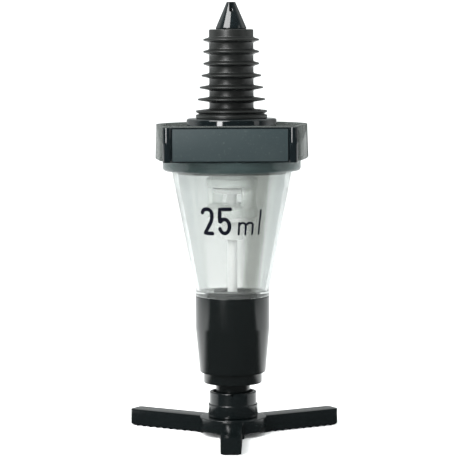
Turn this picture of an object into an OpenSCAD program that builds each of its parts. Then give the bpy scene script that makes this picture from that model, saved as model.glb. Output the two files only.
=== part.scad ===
// Spirit measure that hangs under an inverted bottle.
// A glass pressed up against the three arms lifts the tube and the stem. The inlet plug then
// closes the inlet first, and the outlet plug clears the outlet bush after it.
// Millimetres, +Z up. The origin is the mouth of the spout tube, level with the underside of the arms.
// The front, with the fascia, faces -Y.

/* [Press arms] */
// Number of arms round the hub
arm_count = 3; // [3:1:5]
// Distance from the axis to an arm's tip
arm_reach = 41.6; // [36:0.1:50]
// Width of an arm
arm_w = 7; // [5:0.1:9]
// Height of an arm
arm_h = 6; // [4.5:0.1:6.3]
// Radius of the lower corner at an arm's tip
arm_tip_round = 2.2; // [0.5:0.1:3]
// Spacing of the scallops under an arm
scallop_pitch = 2.9; // [2.6:0.1:5]
// Depth of a scallop
scallop_depth = 0.5; // [0.2:0.05:0.9]
// Flat land between two scallops
scallop_land = 0.3; // [0.1:0.05:0.8]
// Flat stretch at the tip before the first scallop
tip_land = 3; // [2.2:0.1:5]
// Width of the hub's rim outside the clip
hub_rim = 4.1; // [3:0.1:6]
// Height of the hub
hub_h = 5; // [4:0.1:7]
// Height of the hub's underside above the arms' underside
hub_rise = 1.4; // [1.3:0.05:2]

/* [Spout tube and collar] */
// Outer radius of the spout tube
tube_r = 6.05; // [5.6:0.05:6.6]
// Wall of the spout tube
tube_wall = 1.15; // [0.9:0.05:1.5]
// Length of the wide bore at the outlet
outlet_h = 24; // [12:0.5:25]
// How much narrower the bore is above it
outlet_step = 0.3; // [0.1:0.05:0.6]
// Height of the flange on top of the tube
tube_flange_h = 1.6; // [1:0.1:2.5]
// Height of the clip that holds the arms on
arm_clip_h = 0.8; // [0.5:0.05:1]
// How far the clip stands out from the tube
arm_clip_rim = 1.55; // [1:0.05:2]
// Width of the clip's mouth
arm_clip_mouth = 6; // [4:0.5:9]
// Depth of the clip's groove in the tube
arm_clip_groove = 0.4; // [0.2:0.05:0.6]
// Height of the collar's lower step
collar_h = 4.5; // [3:0.1:6]
// How far the lower step stands out from the cup
collar_step = 0.5; // [0.2:0.05:1]
// Height of the cup on the collar
cup_h = 4.4; // [3:0.1:6]
// Wall of the cup
cup_wall = 1.15; // [0.8:0.05:1.6]
// Clear ring between the cup's wall and the tube
cup_gap = 1.05; // [0.6:0.05:1.6]
// Floor of the cup above the lower step
cup_floor = 1; // [0.5:0.1:2]
// Width of the notch at the front of the cup
notch_w = 2.2; // [1:0.1:3.5]
// Depth of the notch
notch_h = 1.2; // [0.5:0.1:2.5]

/* [Neck ring] */
// Stretch of tube that shows between the collar and the neck ring
neck_gap = 3.1; // [2:0.1:5]
// Height of the neck ring that shows under the barrel
neck_h = 3.7; // [2.5:0.1:6]
// Wall of the neck ring round the collar
neck_wall = 1.2; // [0.9:0.05:2]
// Length of the bore that guides the tube
guide_h = 4.6; // [3:0.1:7]

/* [Barrel] */
// Height of the slope under the spigot's seat
seat_slope = 2; // [1:0.1:4]
// Height of the barrel
barrel_h = 27.1; // [26:0.1:34]
// Height of the barrel's tapered lower part
barrel_taper_h = 15.8; // [10:0.1:20]
// Wall of the barrel
barrel_wall = 1.27; // [1:0.01:2]
// Radius of the barrel's lower edge
barrel_edge = 0.8; // [0.3:0.1:1.1]

/* [Chamber] */
// Height of the straight foot
foot_h = 2.7; // [2:0.1:4]
// How far the foot stands out past the barrel
foot_step = 0.05; // [0:0.01:0.5]
// Height of the cone that shows
cone_h = 41.3; // [36:0.1:50]
// Outer radius of the cone's top
cone_top_r = 21.1; // [19.5:0.1:24]
// Wall of the cone
chamber_wall = 1.4; // [1.2:0.05:2.2]
// Wall of the spigot inside the barrel
spigot_wall = 2.6; // [1.6:0.1:3]
// Length of the spigot inside the barrel
spigot_h = 6.8; // [5:0.1:8]
// Thickness of the chamber's floor
floor_h = 2.6; // [1.8:0.1:3.2]
// How far the floor's top lies below the foot's top
floor_sink = 1; // [0.5:0.1:1.4]
// Radius of the fillet between the floor and the cone
floor_fillet = 1.2; // [0.4:0.1:2]
// How far the mouth's bore lies inside the cone's top
mouth_step = 2; // [1.6:0.1:2.6]
// How far the flange stands out from the cone's top
chamber_rim = 1.8; // [1:0.1:2.5]
// Height of the flange
chamber_rim_h = 2.8; // [1.5:0.1:3.2]

/* [Head] */
// Height of the skirt ring
skirt_h = 4.5; // [4:0.1:7]
// Wall of the skirt ring
skirt_wall = 1.25; // [0.9:0.05:2]
// Radius of the skirt ring's lower edge
skirt_edge = 1.2; // [0.4:0.1:1.6]
// How far the shell's round back stands out past the skirt ring
shell_out = 2.72; // [2:0.01:5]
// How far the fascia's back lies in front of the chamber's flange
shell_reach = 0; // [0:0.1:3]
// How far the shell's sides draw in towards the front
shell_draw = 3; // [1:0.1:4]
// Height of the shell
shell_h = 11.8; // [9:0.1:16]
// Wall of the shell
shell_wall = 1.6; // [1.2:0.1:2.4]
// Thickness of the shell's floor
shell_floor = 1.6; // [1.2:0.1:2.4]
// How far the fascia's ends lie inside the shell's front corners
fascia_inset = 0.85; // [0:0.05:2]
// Thickness of the fascia
fascia_t = 2.1; // [1.6:0.1:3]
// Radius of the fascia's upright edges
fascia_round = 1; // [0.4:0.1:1.5]
// How far the fascia's top lies below the shell's rim
fascia_drop = 0.4; // [0:0.1:2]
// How far the fascia hangs below the shell
fascia_lip = 0.6; // [0:0.1:1]
// Border of the name panel at each end
panel_margin = 3; // [1.5:0.1:12]
// Height of the name panel
panel_h = 11; // [6:0.1:11.3]
// Thickness of the name panel
panel_t = 0.5; // [0.3:0.05:0.8]
// How far the panel's face lies behind the fascia's
panel_sink = 0.1; // [0.05:0.05:0.3]
// Outer radius of the neck cap
cap_r = 15.75; // [14:0.05:17]
// How far the neck cap stands above the shell's rim
cap_rise = 1.9; // [1:0.1:4]
// Thickness of the neck cap's top
cap_top_h = 1.6; // [1:0.1:2.5]
// Radius of the neck cap's upper edge
cap_edge = 0.7; // [0.2:0.1:0.9]

/* [Cork and nozzle] */
// Height of the cork
cork_h = 31; // [30.5:0.1:40]
// Wall of the cork's tube
cork_wall = 2.52; // [1.5:0.01:3.5]
// Radius of the upper three fins
fin_r = 9.75; // [9:0.05:10.5]
// Number of fins
fin_count = 7; // [4:1:7]
// Number of equal fins at the top
fin_equal = 3; // [2:1:4]
// How much wider each fin below them is
fin_grow = 0.68; // [0.2:0.01:0.9]
// Spacing of the fins
fin_pitch = 4.14; // [3:0.01:4.2]
// Height of a fin's rim
fin_rim = 0.6; // [0.3:0.05:1]
// Height of a fin at the tube
fin_root = 1.8; // [1.2:0.05:2.4]
// Height of the lowest fin above the cork's underside
fin_first = 2.5; // [2.4:0.05:3]
// Height of the cork's base flange
cork_base_h = 1.3; // [0.8:0.05:1.4]
// Height of the nozzle
nozzle_h = 9.5; // [7:0.1:14]
// Radius of the nozzle's base
nozzle_r = 5.6; // [5:0.05:6.5]
// Radius of the nozzle's tip
nozzle_tip_r = 1.5; // [1.2:0.05:2]
// Wall of the nozzle
nozzle_wall = 1.3; // [0.9:0.05:1.6]
// Thickness of the nozzle's shoulder on the inlet tube
nozzle_shoulder = 1; // [0.6:0.1:2]
// Solid stretch at the nozzle's tip
nozzle_solid = 1.5; // [1:0.1:3]
// Width of the nozzle's slots
slot_w = 1.6; // [0.8:0.1:1.8]
// Height of the nozzle's slots
slot_h = 3.5; // [2:0.1:5]
// Length of the nozzle's stub in the inlet tube
stub_h = 4; // [2:0.1:8]

/* [Inlet] */
// Radius of the inlet tube's bore
inlet_tube_bore = 3.6; // [2.8:0.05:4]
// Wall of the inlet tube
inlet_tube_wall = 1.6; // [1:0.05:2]
// Radius of the inlet tube's flange
inlet_flange_r = 11; // [8:0.1:11.5]
// Height of the inlet tube's flange
inlet_flange_h = 1.6; // [1:0.1:2.4]
// Depth of the inlet tube's seat in the core
inlet_seat_h = 5.5; // [3:0.1:6]
// Radius of the bore that the inlet plug closes
inlet_bore_r = 6.9; // [6:0.05:7.6]
// Wall of the inlet boss
boss_wall = 1.1; // [0.8:0.05:1.6]
// How far the inlet boss hangs below the skirt ring
boss_drop = 5.7; // [4.5:0.1:8]
// How far the core hangs below the skirt ring
core_drop = 0.8; // [0:0.1:1.5]
// Radius of the core's threaded neck
core_neck_r = 12; // [11.8:0.05:12.6]
// Width of the lead-in at a valve bore's mouth
lead_in = 0.5; // [0.2:0.05:0.8]

/* [Valve] */
// Travel of the arms, tube and stem
stroke = 8.5; // [7:0.1:9]
// Radius of the stem
stem_r = 1.7; // [1.4:0.05:2]
// Height of the stem above the inlet plug
stem_nose = 1.2; // [0.9:0.1:2]
// Gap between the inlet plug and the boss at rest
inlet_gap = 0.5; // [0.3:0.1:1.5]
// Height of the inlet plug
inlet_plug_h = 2.1; // [1.8:0.1:3]
// Height of the outlet plug
outlet_plug_h = 5; // [3:0.1:6]
// How far the outlet plug's top lies below the bush's top
outlet_sink = 1; // [0.5:0.1:2]
// Radius of the bore that the outlet plug closes
outlet_bore_r = 5; // [4.4:0.05:5.4]
// Wall of the outlet bush
bush_wall = 1.6; // [1.2:0.1:2]
// How far the outlet bush stands below its flange
bush_tail = 2.5; // [1.5:0.1:3]
// Height of the outlet bush's flange
bush_flange_h = 1.5; // [1:0.1:2]
// How far that flange stands out past the tube's flange
bush_rim = 0.2; // [0:0.05:0.5]
// Height of the outlet gasket
gasket_h = 0.5; // [0.3:0.1:1]
// How far the outlet bush lies below the floor's top
bush_drop = 0.4; // [0.2:0.1:1]
// Cord radius of the two plug seals
seal_r = 0.5; // [0.35:0.05:0.6]
// Height of a stem clip
clip_h = 0.6; // [0.4:0.05:0.8]
// How far a stem clip stands out from the stem
clip_rim = 1.2; // [0.8:0.05:1.6]
// Depth of a stem clip's groove
clip_groove = 0.3; // [0.15:0.05:0.4]
// Width of a stem clip's mouth
clip_mouth = 2.7; // [2.4:0.1:3]
// Height of the spider that holds the stem
spider_h = 3; // [2:0.1:4]
// Wall of the spider's ring
spider_ring = 0.75; // [0.5:0.05:1]
// Wall of the spider's hub
spider_hub = 1; // [0.7:0.05:1.3]
// Width of a spoke
spoke_w = 1.2; // [0.8:0.1:1.6]
// Number of spokes
spoke_count = 3; // [3:1:4]
// How far the spider sits into the tube's wall
spider_step = 0.4; // [0.2:0.05:0.6]

/* [Valve cage] */
// Gap between the inlet plug and the cage's legs
leg_gap = 0.9; // [0.6:0.1:1.2]
// Height of the windows under the inlet boss
window_h = 6.6; // [5:0.1:9]
// Wall of the cage
cage_wall = 1.1; // [0.8:0.05:1.6]
// Height of the cage's ring round the boss
cage_ring_h = 2.6; // [1.5:0.1:4]
// Angle that each of the two legs covers
leg_angle = 42; // [25:1:70]
// How far the legs lie inside the ring's and the dome's outer faces
leg_inset = 0.06; // [0.03:0.01:0.1]
// How far above the dome's shoulder the legs meet it
leg_root = 0.3; // [0.2:0.05:0.35]
// Height of the dome under the windows
dome_h = 4; // [3.2:0.1:6]
// Radius of the dome's shoulder
dome_round = 2.5; // [1:0.1:3]
// Wall of the dome
dome_wall = 1.3; // [0.9:0.1:2]
// Height of the bush's flange under the dome
cage_flange_h = 1.6; // [1:0.1:2.5]
// How far the bush's flange lies inside the dome's edge
cage_flange_in = 0.9; // [0.4:0.1:2]
// Wall of the bush's sleeve in the dome
cage_sleeve = 1.15; // [0.8:0.05:1.6]
// Radius of the bush's nose
cage_nose_r = 3.9; // [3:0.1:5]
// Length of the bush's nose
cage_nose_h = 6.4; // [3:0.1:9]

/* [Core seal] */
// Cord radius of the core's seal
core_seal_r = 0.7; // [0.5:0.05:0.9]

/* [Return spring] */
// Wire radius
wire_r = 0.45; // [0.35:0.05:0.5]
// Number of curls
curls = 6; // [4:1:7]
// Gap between the spring and the outlet bush
spring_gap = 0.55; // [0.4:0.05:0.8]
// Clearance between the spring's ends and their seats
spring_seat = 0.1; // [0.05:0.05:0.3]

/* [Fits] */
// Radial clearance of a running fit
running = 0.05; // [0.02:0.01:0.1]
// Radial clearance between pieces that are fixed together
fixed = 0.03; // [0.01:0.01:0.08]
// Clearance between pieces that pass each other
passing = 0.35; // [0.3:0.05:0.6]
// End clearance where a moving piece stops
stop_gap = 0.3; // [0.2:0.05:0.5]
// Chamfer on small edges
chamfer = 0.3; // [0.1:0.05:0.4]
// End play of the arms' hub
end_play = 0.1; // [0.05:0.05:0.2]

/* [Hidden] */

facets = 96;
arc_steps = 8;
cut = 1;

// Levels of the moving pieces, from the arms' underside upward
hub_top = hub_rise + hub_h;
arm_clip_z = hub_rise - end_play - arm_clip_h;
tube_end = 0;
collar_z = hub_top + end_play;
cup_z = collar_z + collar_h;
cup_top = cup_z + cup_h;

// Levels of the fixed pieces
neck_z = cup_top + neck_gap;
neck_mouth_top = cup_top + stroke + stop_gap;
guide_top = neck_mouth_top + guide_h;
barrel_z = neck_z + neck_h;
barrel_top = barrel_z + barrel_h;
spigot_z = barrel_top - spigot_h;
foot_top = barrel_top + foot_h;
floor_top = foot_top - floor_sink;
floor_z = floor_top - floor_h;
skirt_z = foot_top + cone_h;
skirt_top = skirt_z + skirt_h;
chamber_rim_z = skirt_top - chamber_rim_h;
shell_floor_top = skirt_top + shell_floor;
shell_top = skirt_top + shell_h;
cap_top = shell_top + cap_rise;
cap_plate_z = cap_top - cap_top_h;
core_neck_top = cap_plate_z - inlet_flange_h;
inlet_seat_z = core_neck_top - inlet_seat_h;
cork_top = cap_top + cork_h;
nozzle_top = cork_top + nozzle_h;
slot_z = nozzle_top - slot_h;

// Levels of the valve
boss_z = skirt_z - boss_drop;
core_z = skirt_z - core_drop;
inlet_plug_top = boss_z - inlet_gap;
inlet_plug_z = inlet_plug_top - inlet_plug_h;
stem_top = inlet_plug_top + stem_nose;
inlet_bore_top = max(skirt_top, stem_top + stroke + stop_gap);
bush_top = floor_top - bush_drop;
gasket_z = floor_z - gasket_h;
bush_flange_z = gasket_z - bush_flange_h;
bush_z = bush_flange_z - bush_tail;
outlet_plug_top = bush_top - outlet_sink;
outlet_plug_z = outlet_plug_top - outlet_plug_h;
outlet_seal_z = outlet_plug_z + outlet_plug_h / 3;
tube_flange_z = guide_top + end_play;
tube_top = tube_flange_z + tube_flange_h;
spider_z = tube_top - spider_h;
stem_z = spider_z - clip_h - stem_nose;
clip_levels = [spider_z - clip_h, outlet_plug_z - clip_h, inlet_plug_top];

// Radii from the tube outward
tube_bore = tube_r - tube_wall;
arm_clip_r = tube_r + arm_clip_rim;
hub_r = arm_clip_r + hub_rim;
cup_bore = tube_r + cup_gap;
cup_r = cup_bore + cup_wall;
collar_r = cup_r + collar_step;
neck_bore = collar_r + passing;
neck_r = neck_bore + neck_wall;
barrel_bore = neck_r + fixed;
barrel_low_r = barrel_bore + barrel_wall;

// Radii from the outlet outward
bush_r = outlet_bore_r + bush_wall;
spring_r = bush_r + spring_gap + wire_r;
tube_flange_r = spring_r + wire_r + spring_gap;
bush_flange_r = tube_flange_r + bush_rim;
spigot_bore = bush_flange_r + passing;
spigot_r = spigot_bore + spigot_wall;
barrel_seat = spigot_r + fixed;
barrel_top_r = barrel_seat + barrel_wall;
foot_r = barrel_top_r + foot_step;
foot_bore = foot_r - chamber_wall;

// Radii of the head
mouth_r = cone_top_r - mouth_step;
core_r = mouth_r - fixed;
chamber_rim_r = cone_top_r + chamber_rim;
skirt_bore = chamber_rim_r + fixed;
skirt_r = skirt_bore + skirt_wall;
shell_r = skirt_r + shell_out;
shell_front = chamber_rim_r + shell_reach;
fascia_w = 2 * (shell_r - shell_draw - fascia_inset);
panel_w = fascia_w - 2 * panel_margin;
boss_r = inlet_bore_r + boss_wall;
inlet_tube_r = inlet_tube_bore + inlet_tube_wall;
cork_bore = inlet_tube_r + fixed;
cork_r = cork_bore + cork_wall;
cork_base_r = fin_r + (fin_count - fin_equal) * fin_grow;

// Radii of the plugs, whose seals run in the two bores
inlet_seal_out = inlet_bore_r - running;
outlet_seal_out = outlet_bore_r - running;
inlet_plug_r = inlet_seal_out - seal_r / 2;
outlet_plug_r = outlet_seal_out - seal_r / 2;

// Radii of the cage
cage_ring_bore = boss_r + fixed;
cage_r = cage_ring_bore + cage_wall;
leg_in = inlet_plug_r + leg_gap;
dome_top = boss_z - window_h;
dome_z = dome_top - dome_h;
cage_flange_z = dome_z - cage_flange_h;
cage_nose_z = cage_flange_z - cage_nose_h;
cage_bore = stem_r + running;
sleeve_r = cage_bore + cage_sleeve;

// Fascia
fascia_z = skirt_top - fascia_lip;
fascia_top = shell_top - fascia_drop;
fascia_front = shell_front + fascia_t;
panel_z = (fascia_z + fascia_top - panel_h) / 2;

// Outer and inner radius of the cone at a level
function cone_r(z) = foot_r + (cone_top_r - foot_r) * (z - foot_top) / cone_h;
function cone_bore(z) = z < foot_top ? foot_bore : cone_r(z) - chamber_wall;
function fin_radius(i) = fin_r + max(0, i - fin_equal + 1) * fin_grow;
function fin_z(i) = cap_top + fin_first + (fin_count - 1 - i) * fin_pitch;

// Points along an arc about c, from angle a to angle b
function arc(c, r, a, b) = [
    for (i = [0:arc_steps])
        c + r * [cos(a + (b - a) * i / arc_steps), sin(a + (b - a) * i / arc_steps)]
];

// Spirit that the chamber holds between the floor and the inlet, in millilitres
function frustum(r1, r2, h) = PI * h * (r1 * r1 + r1 * r2 + r2 * r2) / 3;
held_ml = (PI * foot_bore * foot_bore * (foot_top - floor_top)
    + frustum(cone_bore(foot_top), cone_bore(boss_z), boss_z - foot_top)
    - PI * stem_r * stem_r * (boss_z - floor_top)
    - PI * cage_nose_r * cage_nose_r * cage_nose_h
    - PI * cage_r * cage_r * cage_flange_h
    - PI * cage_r * cage_r * dome_h / 2) / 1000;
echo(held_ml = held_ml);

module turned(profile) {
    rotate_extrude($fn = facets)
        polygon(profile);
}

// A seal ring of round section, by its outer radius
module seal_ring(outer, cord, level) {
    translate([0, 0, level])
        rotate_extrude($fn = facets)
            translate([outer - cord, 0])
                circle(cord, $fn = 24);
}

// A flat ring with a gap, as a retaining clip has
module open_ring(bore, outer, height, level, gap) {
    translate([0, 0, level])
        difference() {
            cylinder(r = outer, h = height, $fn = facets);
            translate([0, 0, -cut])
                cylinder(r = bore, h = height + 2 * cut, $fn = facets);
            translate([0, -gap / 2, -cut])
                cube([outer + cut, gap, height + 2 * cut]);
        }
}

module nozzle_tip() {
    stub_r = inlet_tube_bore - fixed;
    bore = stub_r - nozzle_wall;
    color("black")
        difference() {
            turned([
                [0, cork_top - stub_h],
                [stub_r, cork_top - stub_h],
                [stub_r, cork_top],
                [nozzle_r, cork_top],
                [nozzle_tip_r, nozzle_top],
                [0, nozzle_top]
            ]);
            turned([
                [0, cork_top - stub_h - cut],
                [bore, cork_top - stub_h - cut],
                [bore, cork_top + nozzle_shoulder],
                [0, nozzle_top - nozzle_solid]
            ]);
            for (turn = [0, 90])
                rotate([0, 0, turn])
                    translate([-nozzle_r, -slot_w / 2, slot_z])
                        cube([2 * nozzle_r, slot_w, slot_h + cut]);
        }
}

// Outline of one fin, from its lower root to its upper root. The lowest fin meets the base flange.
function fin_points(i) = let (z = fin_z(i), r = fin_radius(i)) [
    i < fin_count - 1 ? [cork_r, z - fin_root / 2] : [r - 1.5, z - fin_root / 2],
    [r, z - fin_rim / 2],
    [r, z + fin_rim / 2],
    [cork_r, z + fin_root / 2]
];

module cork() {
    color([0.12, 0.12, 0.12])
        turned(concat(
            [
                [cork_bore, cap_top],
                [cork_base_r, cap_top],
                [cork_base_r, cap_top + cork_base_h]
            ],
            [for (i = [fin_count - 1:-1:0]) each fin_points(i)],
            [
                [cork_r, cork_top - chamfer],
                [cork_r - chamfer, cork_top],
                [cork_bore, cork_top]
            ]
        ));
}

module inlet_tube() {
    color([0.85, 0.85, 0.83])
        turned([
            [inlet_tube_bore, inlet_seat_z],
            [inlet_tube_r, inlet_seat_z],
            [inlet_tube_r, core_neck_top],
            [inlet_flange_r, core_neck_top],
            [inlet_flange_r, cap_plate_z],
            [inlet_tube_r, cap_plate_z],
            [inlet_tube_r, cork_top],
            [inlet_tube_bore, cork_top]
        ]);
}

module neck_cap() {
    color([0.1, 0.11, 0.11])
        turned(concat(
            [
                [core_neck_r + fixed, shell_floor_top],
                [cap_r, shell_floor_top]
            ],
            arc([cap_r - cap_edge, cap_top - cap_edge], cap_edge, 0, 90),
            [
                [cork_bore, cap_top],
                [cork_bore, cap_plate_z],
                [core_neck_r + fixed, cap_plate_z]
            ]
        ));
}

// Plan of the shell: a half circle at the back and sides that draw in to the front
module shell_plan(inset) {
    r = shell_r - inset;
    x = shell_r - shell_draw - inset;
    y = shell_front - inset;
    intersection() {
        circle(r, $fn = facets);
        translate([-r, 0])
            square([2 * r, r]);
    }
    polygon([[-r, 0], [-x, -y], [x, -y], [r, 0]]);
}

module head_shell() {
    color([0.25, 0.27, 0.28, 0.6])
        difference() {
            translate([0, 0, skirt_top])
                linear_extrude(shell_h)
                    shell_plan(0);
            translate([0, 0, shell_floor_top])
                linear_extrude(shell_h)
                    shell_plan(shell_wall);
            translate([0, 0, skirt_top - cut])
                cylinder(r = core_neck_r + fixed, h = shell_floor + 2 * cut, $fn = facets);
        }
}

// Plan of the fascia, with round upright edges at the front
module fascia_plan() {
    x = fascia_w / 2;
    polygon(concat(
        [[x, -shell_front], [-x, -shell_front]],
        arc([-x + fascia_round, -fascia_front + fascia_round], fascia_round, 180, 270),
        arc([x - fascia_round, -fascia_front + fascia_round], fascia_round, 270, 360)
    ));
}

module fascia() {
    color("black")
        difference() {
            translate([0, 0, fascia_z])
                linear_extrude(fascia_top - fascia_z)
                    fascia_plan();
            translate([0, 0, skirt_top - 2 * cut])
                cylinder(r = skirt_r + fixed, h = 2 * cut, $fn = facets);
            translate([-panel_w / 2, -fascia_front - cut, panel_z])
                cube([panel_w, cut + panel_sink + panel_t, panel_h]);
        }
}

module fascia_panel() {
    color([0.16, 0.19, 0.18])
        translate([-panel_w / 2 + fixed, -fascia_front + panel_sink, panel_z + fixed])
            cube([panel_w - 2 * fixed, panel_t, panel_h - 2 * fixed]);
}

module head_core() {
    seal_z = (core_z + skirt_top) / 2;
    color([0.08, 0.08, 0.08])
        turned([
            [inlet_bore_r + lead_in, boss_z],
            [boss_r, boss_z],
            [boss_r, core_z],
            [core_r, core_z],
            [core_r, seal_z - core_seal_r],
            [core_r - 2 * core_seal_r, seal_z - core_seal_r],
            [core_r - 2 * core_seal_r, seal_z + core_seal_r],
            [core_r, seal_z + core_seal_r],
            [core_r, skirt_top],
            [inlet_bore_r, skirt_top],
            [inlet_bore_r, boss_z + 2 * lead_in]
        ]);
}

module core_neck() {
    color([0.08, 0.08, 0.08])
        turned(concat(
            [[inlet_tube_bore, inlet_bore_top]],
            inlet_bore_top > skirt_top
                ? [[inlet_bore_r, inlet_bore_top], [inlet_bore_r, skirt_top]]
                : [],
            [
                [core_neck_r, skirt_top],
                [core_neck_r, core_neck_top],
                [inlet_tube_r + fixed, core_neck_top],
                [inlet_tube_r + fixed, inlet_seat_z],
                [inlet_tube_bore, inlet_seat_z]
            ]
        ));
}

module core_seal() {
    color([0.05, 0.05, 0.05])
        seal_ring(core_r, core_seal_r - fixed, (core_z + skirt_top) / 2);
}

module skirt_ring() {
    color([0.2, 0.22, 0.22, 0.7])
        turned(concat(
            [[cone_top_r + passing, skirt_z]],
            arc([skirt_r - skirt_edge, skirt_z + skirt_edge], skirt_edge, -90, 0),
            [
                [skirt_r, skirt_top],
                [skirt_bore, skirt_top],
                [skirt_bore, chamber_rim_z],
                [cone_top_r + passing, chamber_rim_z]
            ]
        ));
}

module chamber() {
    color([0.85, 0.9, 0.88, 0.35])
        turned(concat(
            [
                [spigot_bore, spigot_z],
                [spigot_r, spigot_z],
                [spigot_r, barrel_top],
                [foot_r, barrel_top],
                [foot_r, foot_top],
                [cone_top_r, skirt_z],
                [cone_top_r, chamber_rim_z],
                [chamber_rim_r, chamber_rim_z],
                [chamber_rim_r, skirt_top],
                [mouth_r, skirt_top],
                [mouth_r, core_z],
                [cone_bore(boss_z), boss_z],
                [cone_bore(foot_top), foot_top]
            ],
            arc([foot_bore - floor_fillet, floor_top + floor_fillet], floor_fillet, 0, -90),
            [
                [bush_r + fixed, floor_top],
                [bush_r + fixed, floor_z],
                [spigot_bore, floor_z]
            ]
        ));
}

module valve_cage() {
    leg_z = dome_top - dome_round + leg_root;
    ring_mid = boss_z + cage_ring_h / 2;
    color([0.8, 0.85, 0.83, 0.5])
        union() {
            turned([
                [cage_ring_bore, boss_z],
                [cage_r, boss_z],
                [cage_r, boss_z + cage_ring_h],
                [cage_ring_bore, boss_z + cage_ring_h]
            ]);
            for (turn = [-leg_angle / 2, 180 - leg_angle / 2])
                rotate([0, 0, turn])
                    rotate_extrude(angle = leg_angle, $fn = facets)
                        polygon([
                            [leg_in, leg_z],
                            [cage_r - leg_inset, leg_z],
                            [cage_r - leg_inset, ring_mid],
                            [cage_ring_bore + leg_inset, ring_mid],
                            [cage_ring_bore + leg_inset, boss_z],
                            [leg_in, boss_z]
                        ]);
            turned(concat(
                [
                    [sleeve_r + fixed, dome_top - dome_wall],
                    [cage_r - dome_wall - 1, dome_top - dome_wall],
                    [cage_r - dome_wall, dome_top - dome_wall - 1],
                    [cage_r - dome_wall, dome_z],
                    [cage_r, dome_z]
                ],
                arc([cage_r - dome_round, dome_top - dome_round], dome_round, 0, 90),
                [[sleeve_r + fixed, dome_top]]
            ));
        }
}

module cage_bush() {
    flange_r = cage_r - cage_flange_in;
    color("white")
        turned([
            [cage_bore, cage_nose_z],
            [cage_nose_r - chamfer, cage_nose_z],
            [cage_nose_r, cage_nose_z + chamfer],
            [cage_nose_r, cage_flange_z],
            [flange_r, cage_flange_z],
            [flange_r, dome_z],
            [sleeve_r, dome_z],
            [sleeve_r, dome_top],
            [cage_bore, dome_top]
        ]);
}

module outlet_bush() {
    color([0.07, 0.07, 0.07])
        turned([
            [outlet_bore_r, bush_z],
            [bush_r, bush_z],
            [bush_r, bush_flange_z],
            [bush_flange_r, bush_flange_z],
            [bush_flange_r, gasket_z],
            [bush_r, gasket_z],
            [bush_r, bush_top],
            [outlet_bore_r + lead_in, bush_top],
            [outlet_bore_r, bush_top - lead_in]
        ]);
}

module outlet_gasket() {
    color([0.05, 0.05, 0.05])
        turned([
            [bush_r + fixed, gasket_z],
            [bush_flange_r, gasket_z],
            [bush_flange_r, floor_z],
            [bush_r + fixed, floor_z]
        ]);
}

module barrel() {
    color([0.06, 0.06, 0.06])
        turned(concat(
            [[barrel_bore, barrel_z]],
            arc([barrel_low_r - barrel_edge, barrel_z + barrel_edge], barrel_edge, -90, 0),
            [
                [barrel_top_r, barrel_z + barrel_taper_h],
                [barrel_top_r, barrel_top],
                [barrel_seat, barrel_top],
                [barrel_seat, spigot_z],
                [barrel_bore, spigot_z - seat_slope]
            ]
        ));
}

module neck_ring() {
    color([0.06, 0.06, 0.06])
        turned([
            [neck_bore, neck_z],
            [neck_r - chamfer, neck_z],
            [neck_r, neck_z + chamfer],
            [neck_r, guide_top],
            [tube_r + running, guide_top],
            [tube_r + running, neck_mouth_top],
            [neck_bore, neck_mouth_top]
        ]);
}

// One unbroken wire: rings of six points along a helix
ring_count = 8 * curls;
wire_sides = 6;
spring_low = tube_top + spring_seat + wire_r;
spring_high = bush_flange_z - spring_seat - wire_r;
spring_pitch = (spring_high - spring_low) / curls;
spring_slope = atan(spring_pitch / (2 * PI * spring_r));
function wire_point(k, s) =
    let (turn = 360 * k / 8, a = 360 * s / wire_sides, out = spring_r + wire_r * cos(a))
    [
        out * cos(turn) + wire_r * sin(a) * sin(spring_slope) * sin(turn),
        out * sin(turn) - wire_r * sin(a) * sin(spring_slope) * cos(turn),
        spring_low + spring_pitch * k / 8 + wire_r * sin(a) * cos(spring_slope)
    ];
wire_points = [for (k = [0:ring_count]) for (s = [0:wire_sides - 1]) wire_point(k, s)];
function wire_index(k, s) = k * wire_sides + s % wire_sides;
wire_faces = concat(
    [for (s = [1:wire_sides - 2]) [0, s, s + 1]],
    [
        for (k = [0:ring_count - 1])
            for (s = [0:wire_sides - 1])
                each [
                    [wire_index(k, s), wire_index(k + 1, s), wire_index(k + 1, s + 1)],
                    [wire_index(k, s), wire_index(k + 1, s + 1), wire_index(k, s + 1)]
                ]
    ],
    [
        for (s = [1:wire_sides - 2])
            [wire_index(ring_count, 0), wire_index(ring_count, s + 1), wire_index(ring_count, s)]
    ]
);
wire_gap = min([
    for (k = [0:ring_count - 8])
        for (s = [0:wire_sides - 1])
            for (t = [0:wire_sides - 1])
                norm(wire_point(k + 8, t) - wire_point(k, s))
]);
echo(spring_least_gap = wire_gap);

module return_spring() {
    color("silver")
        polyhedron(points = wire_points, faces = wire_faces);
}

// A valve plug on the stem, with the groove that its seal lies in
module plug(radius, bottom, top, level) {
    turned([
        [stem_r + fixed, bottom],
        [radius, bottom],
        [radius, level - seal_r],
        [radius - 1.5 * seal_r, level - seal_r],
        [radius - 1.5 * seal_r, level + seal_r],
        [radius, level + seal_r],
        [radius, top],
        [stem_r + fixed, top]
    ]);
}

module inlet_plug() {
    color("white")
        plug(inlet_plug_r, inlet_plug_z, inlet_plug_top, inlet_plug_z + inlet_plug_h / 2);
}

module inlet_plug_seal() {
    color([0.05, 0.05, 0.05])
        seal_ring(inlet_seal_out, seal_r - fixed, inlet_plug_z + inlet_plug_h / 2);
}

module outlet_plug() {
    color("white")
        plug(outlet_plug_r, outlet_plug_z, outlet_plug_top, outlet_seal_z);
}

module outlet_plug_seal() {
    color([0.05, 0.05, 0.05])
        seal_ring(outlet_seal_out, seal_r - fixed, outlet_seal_z);
}

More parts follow.
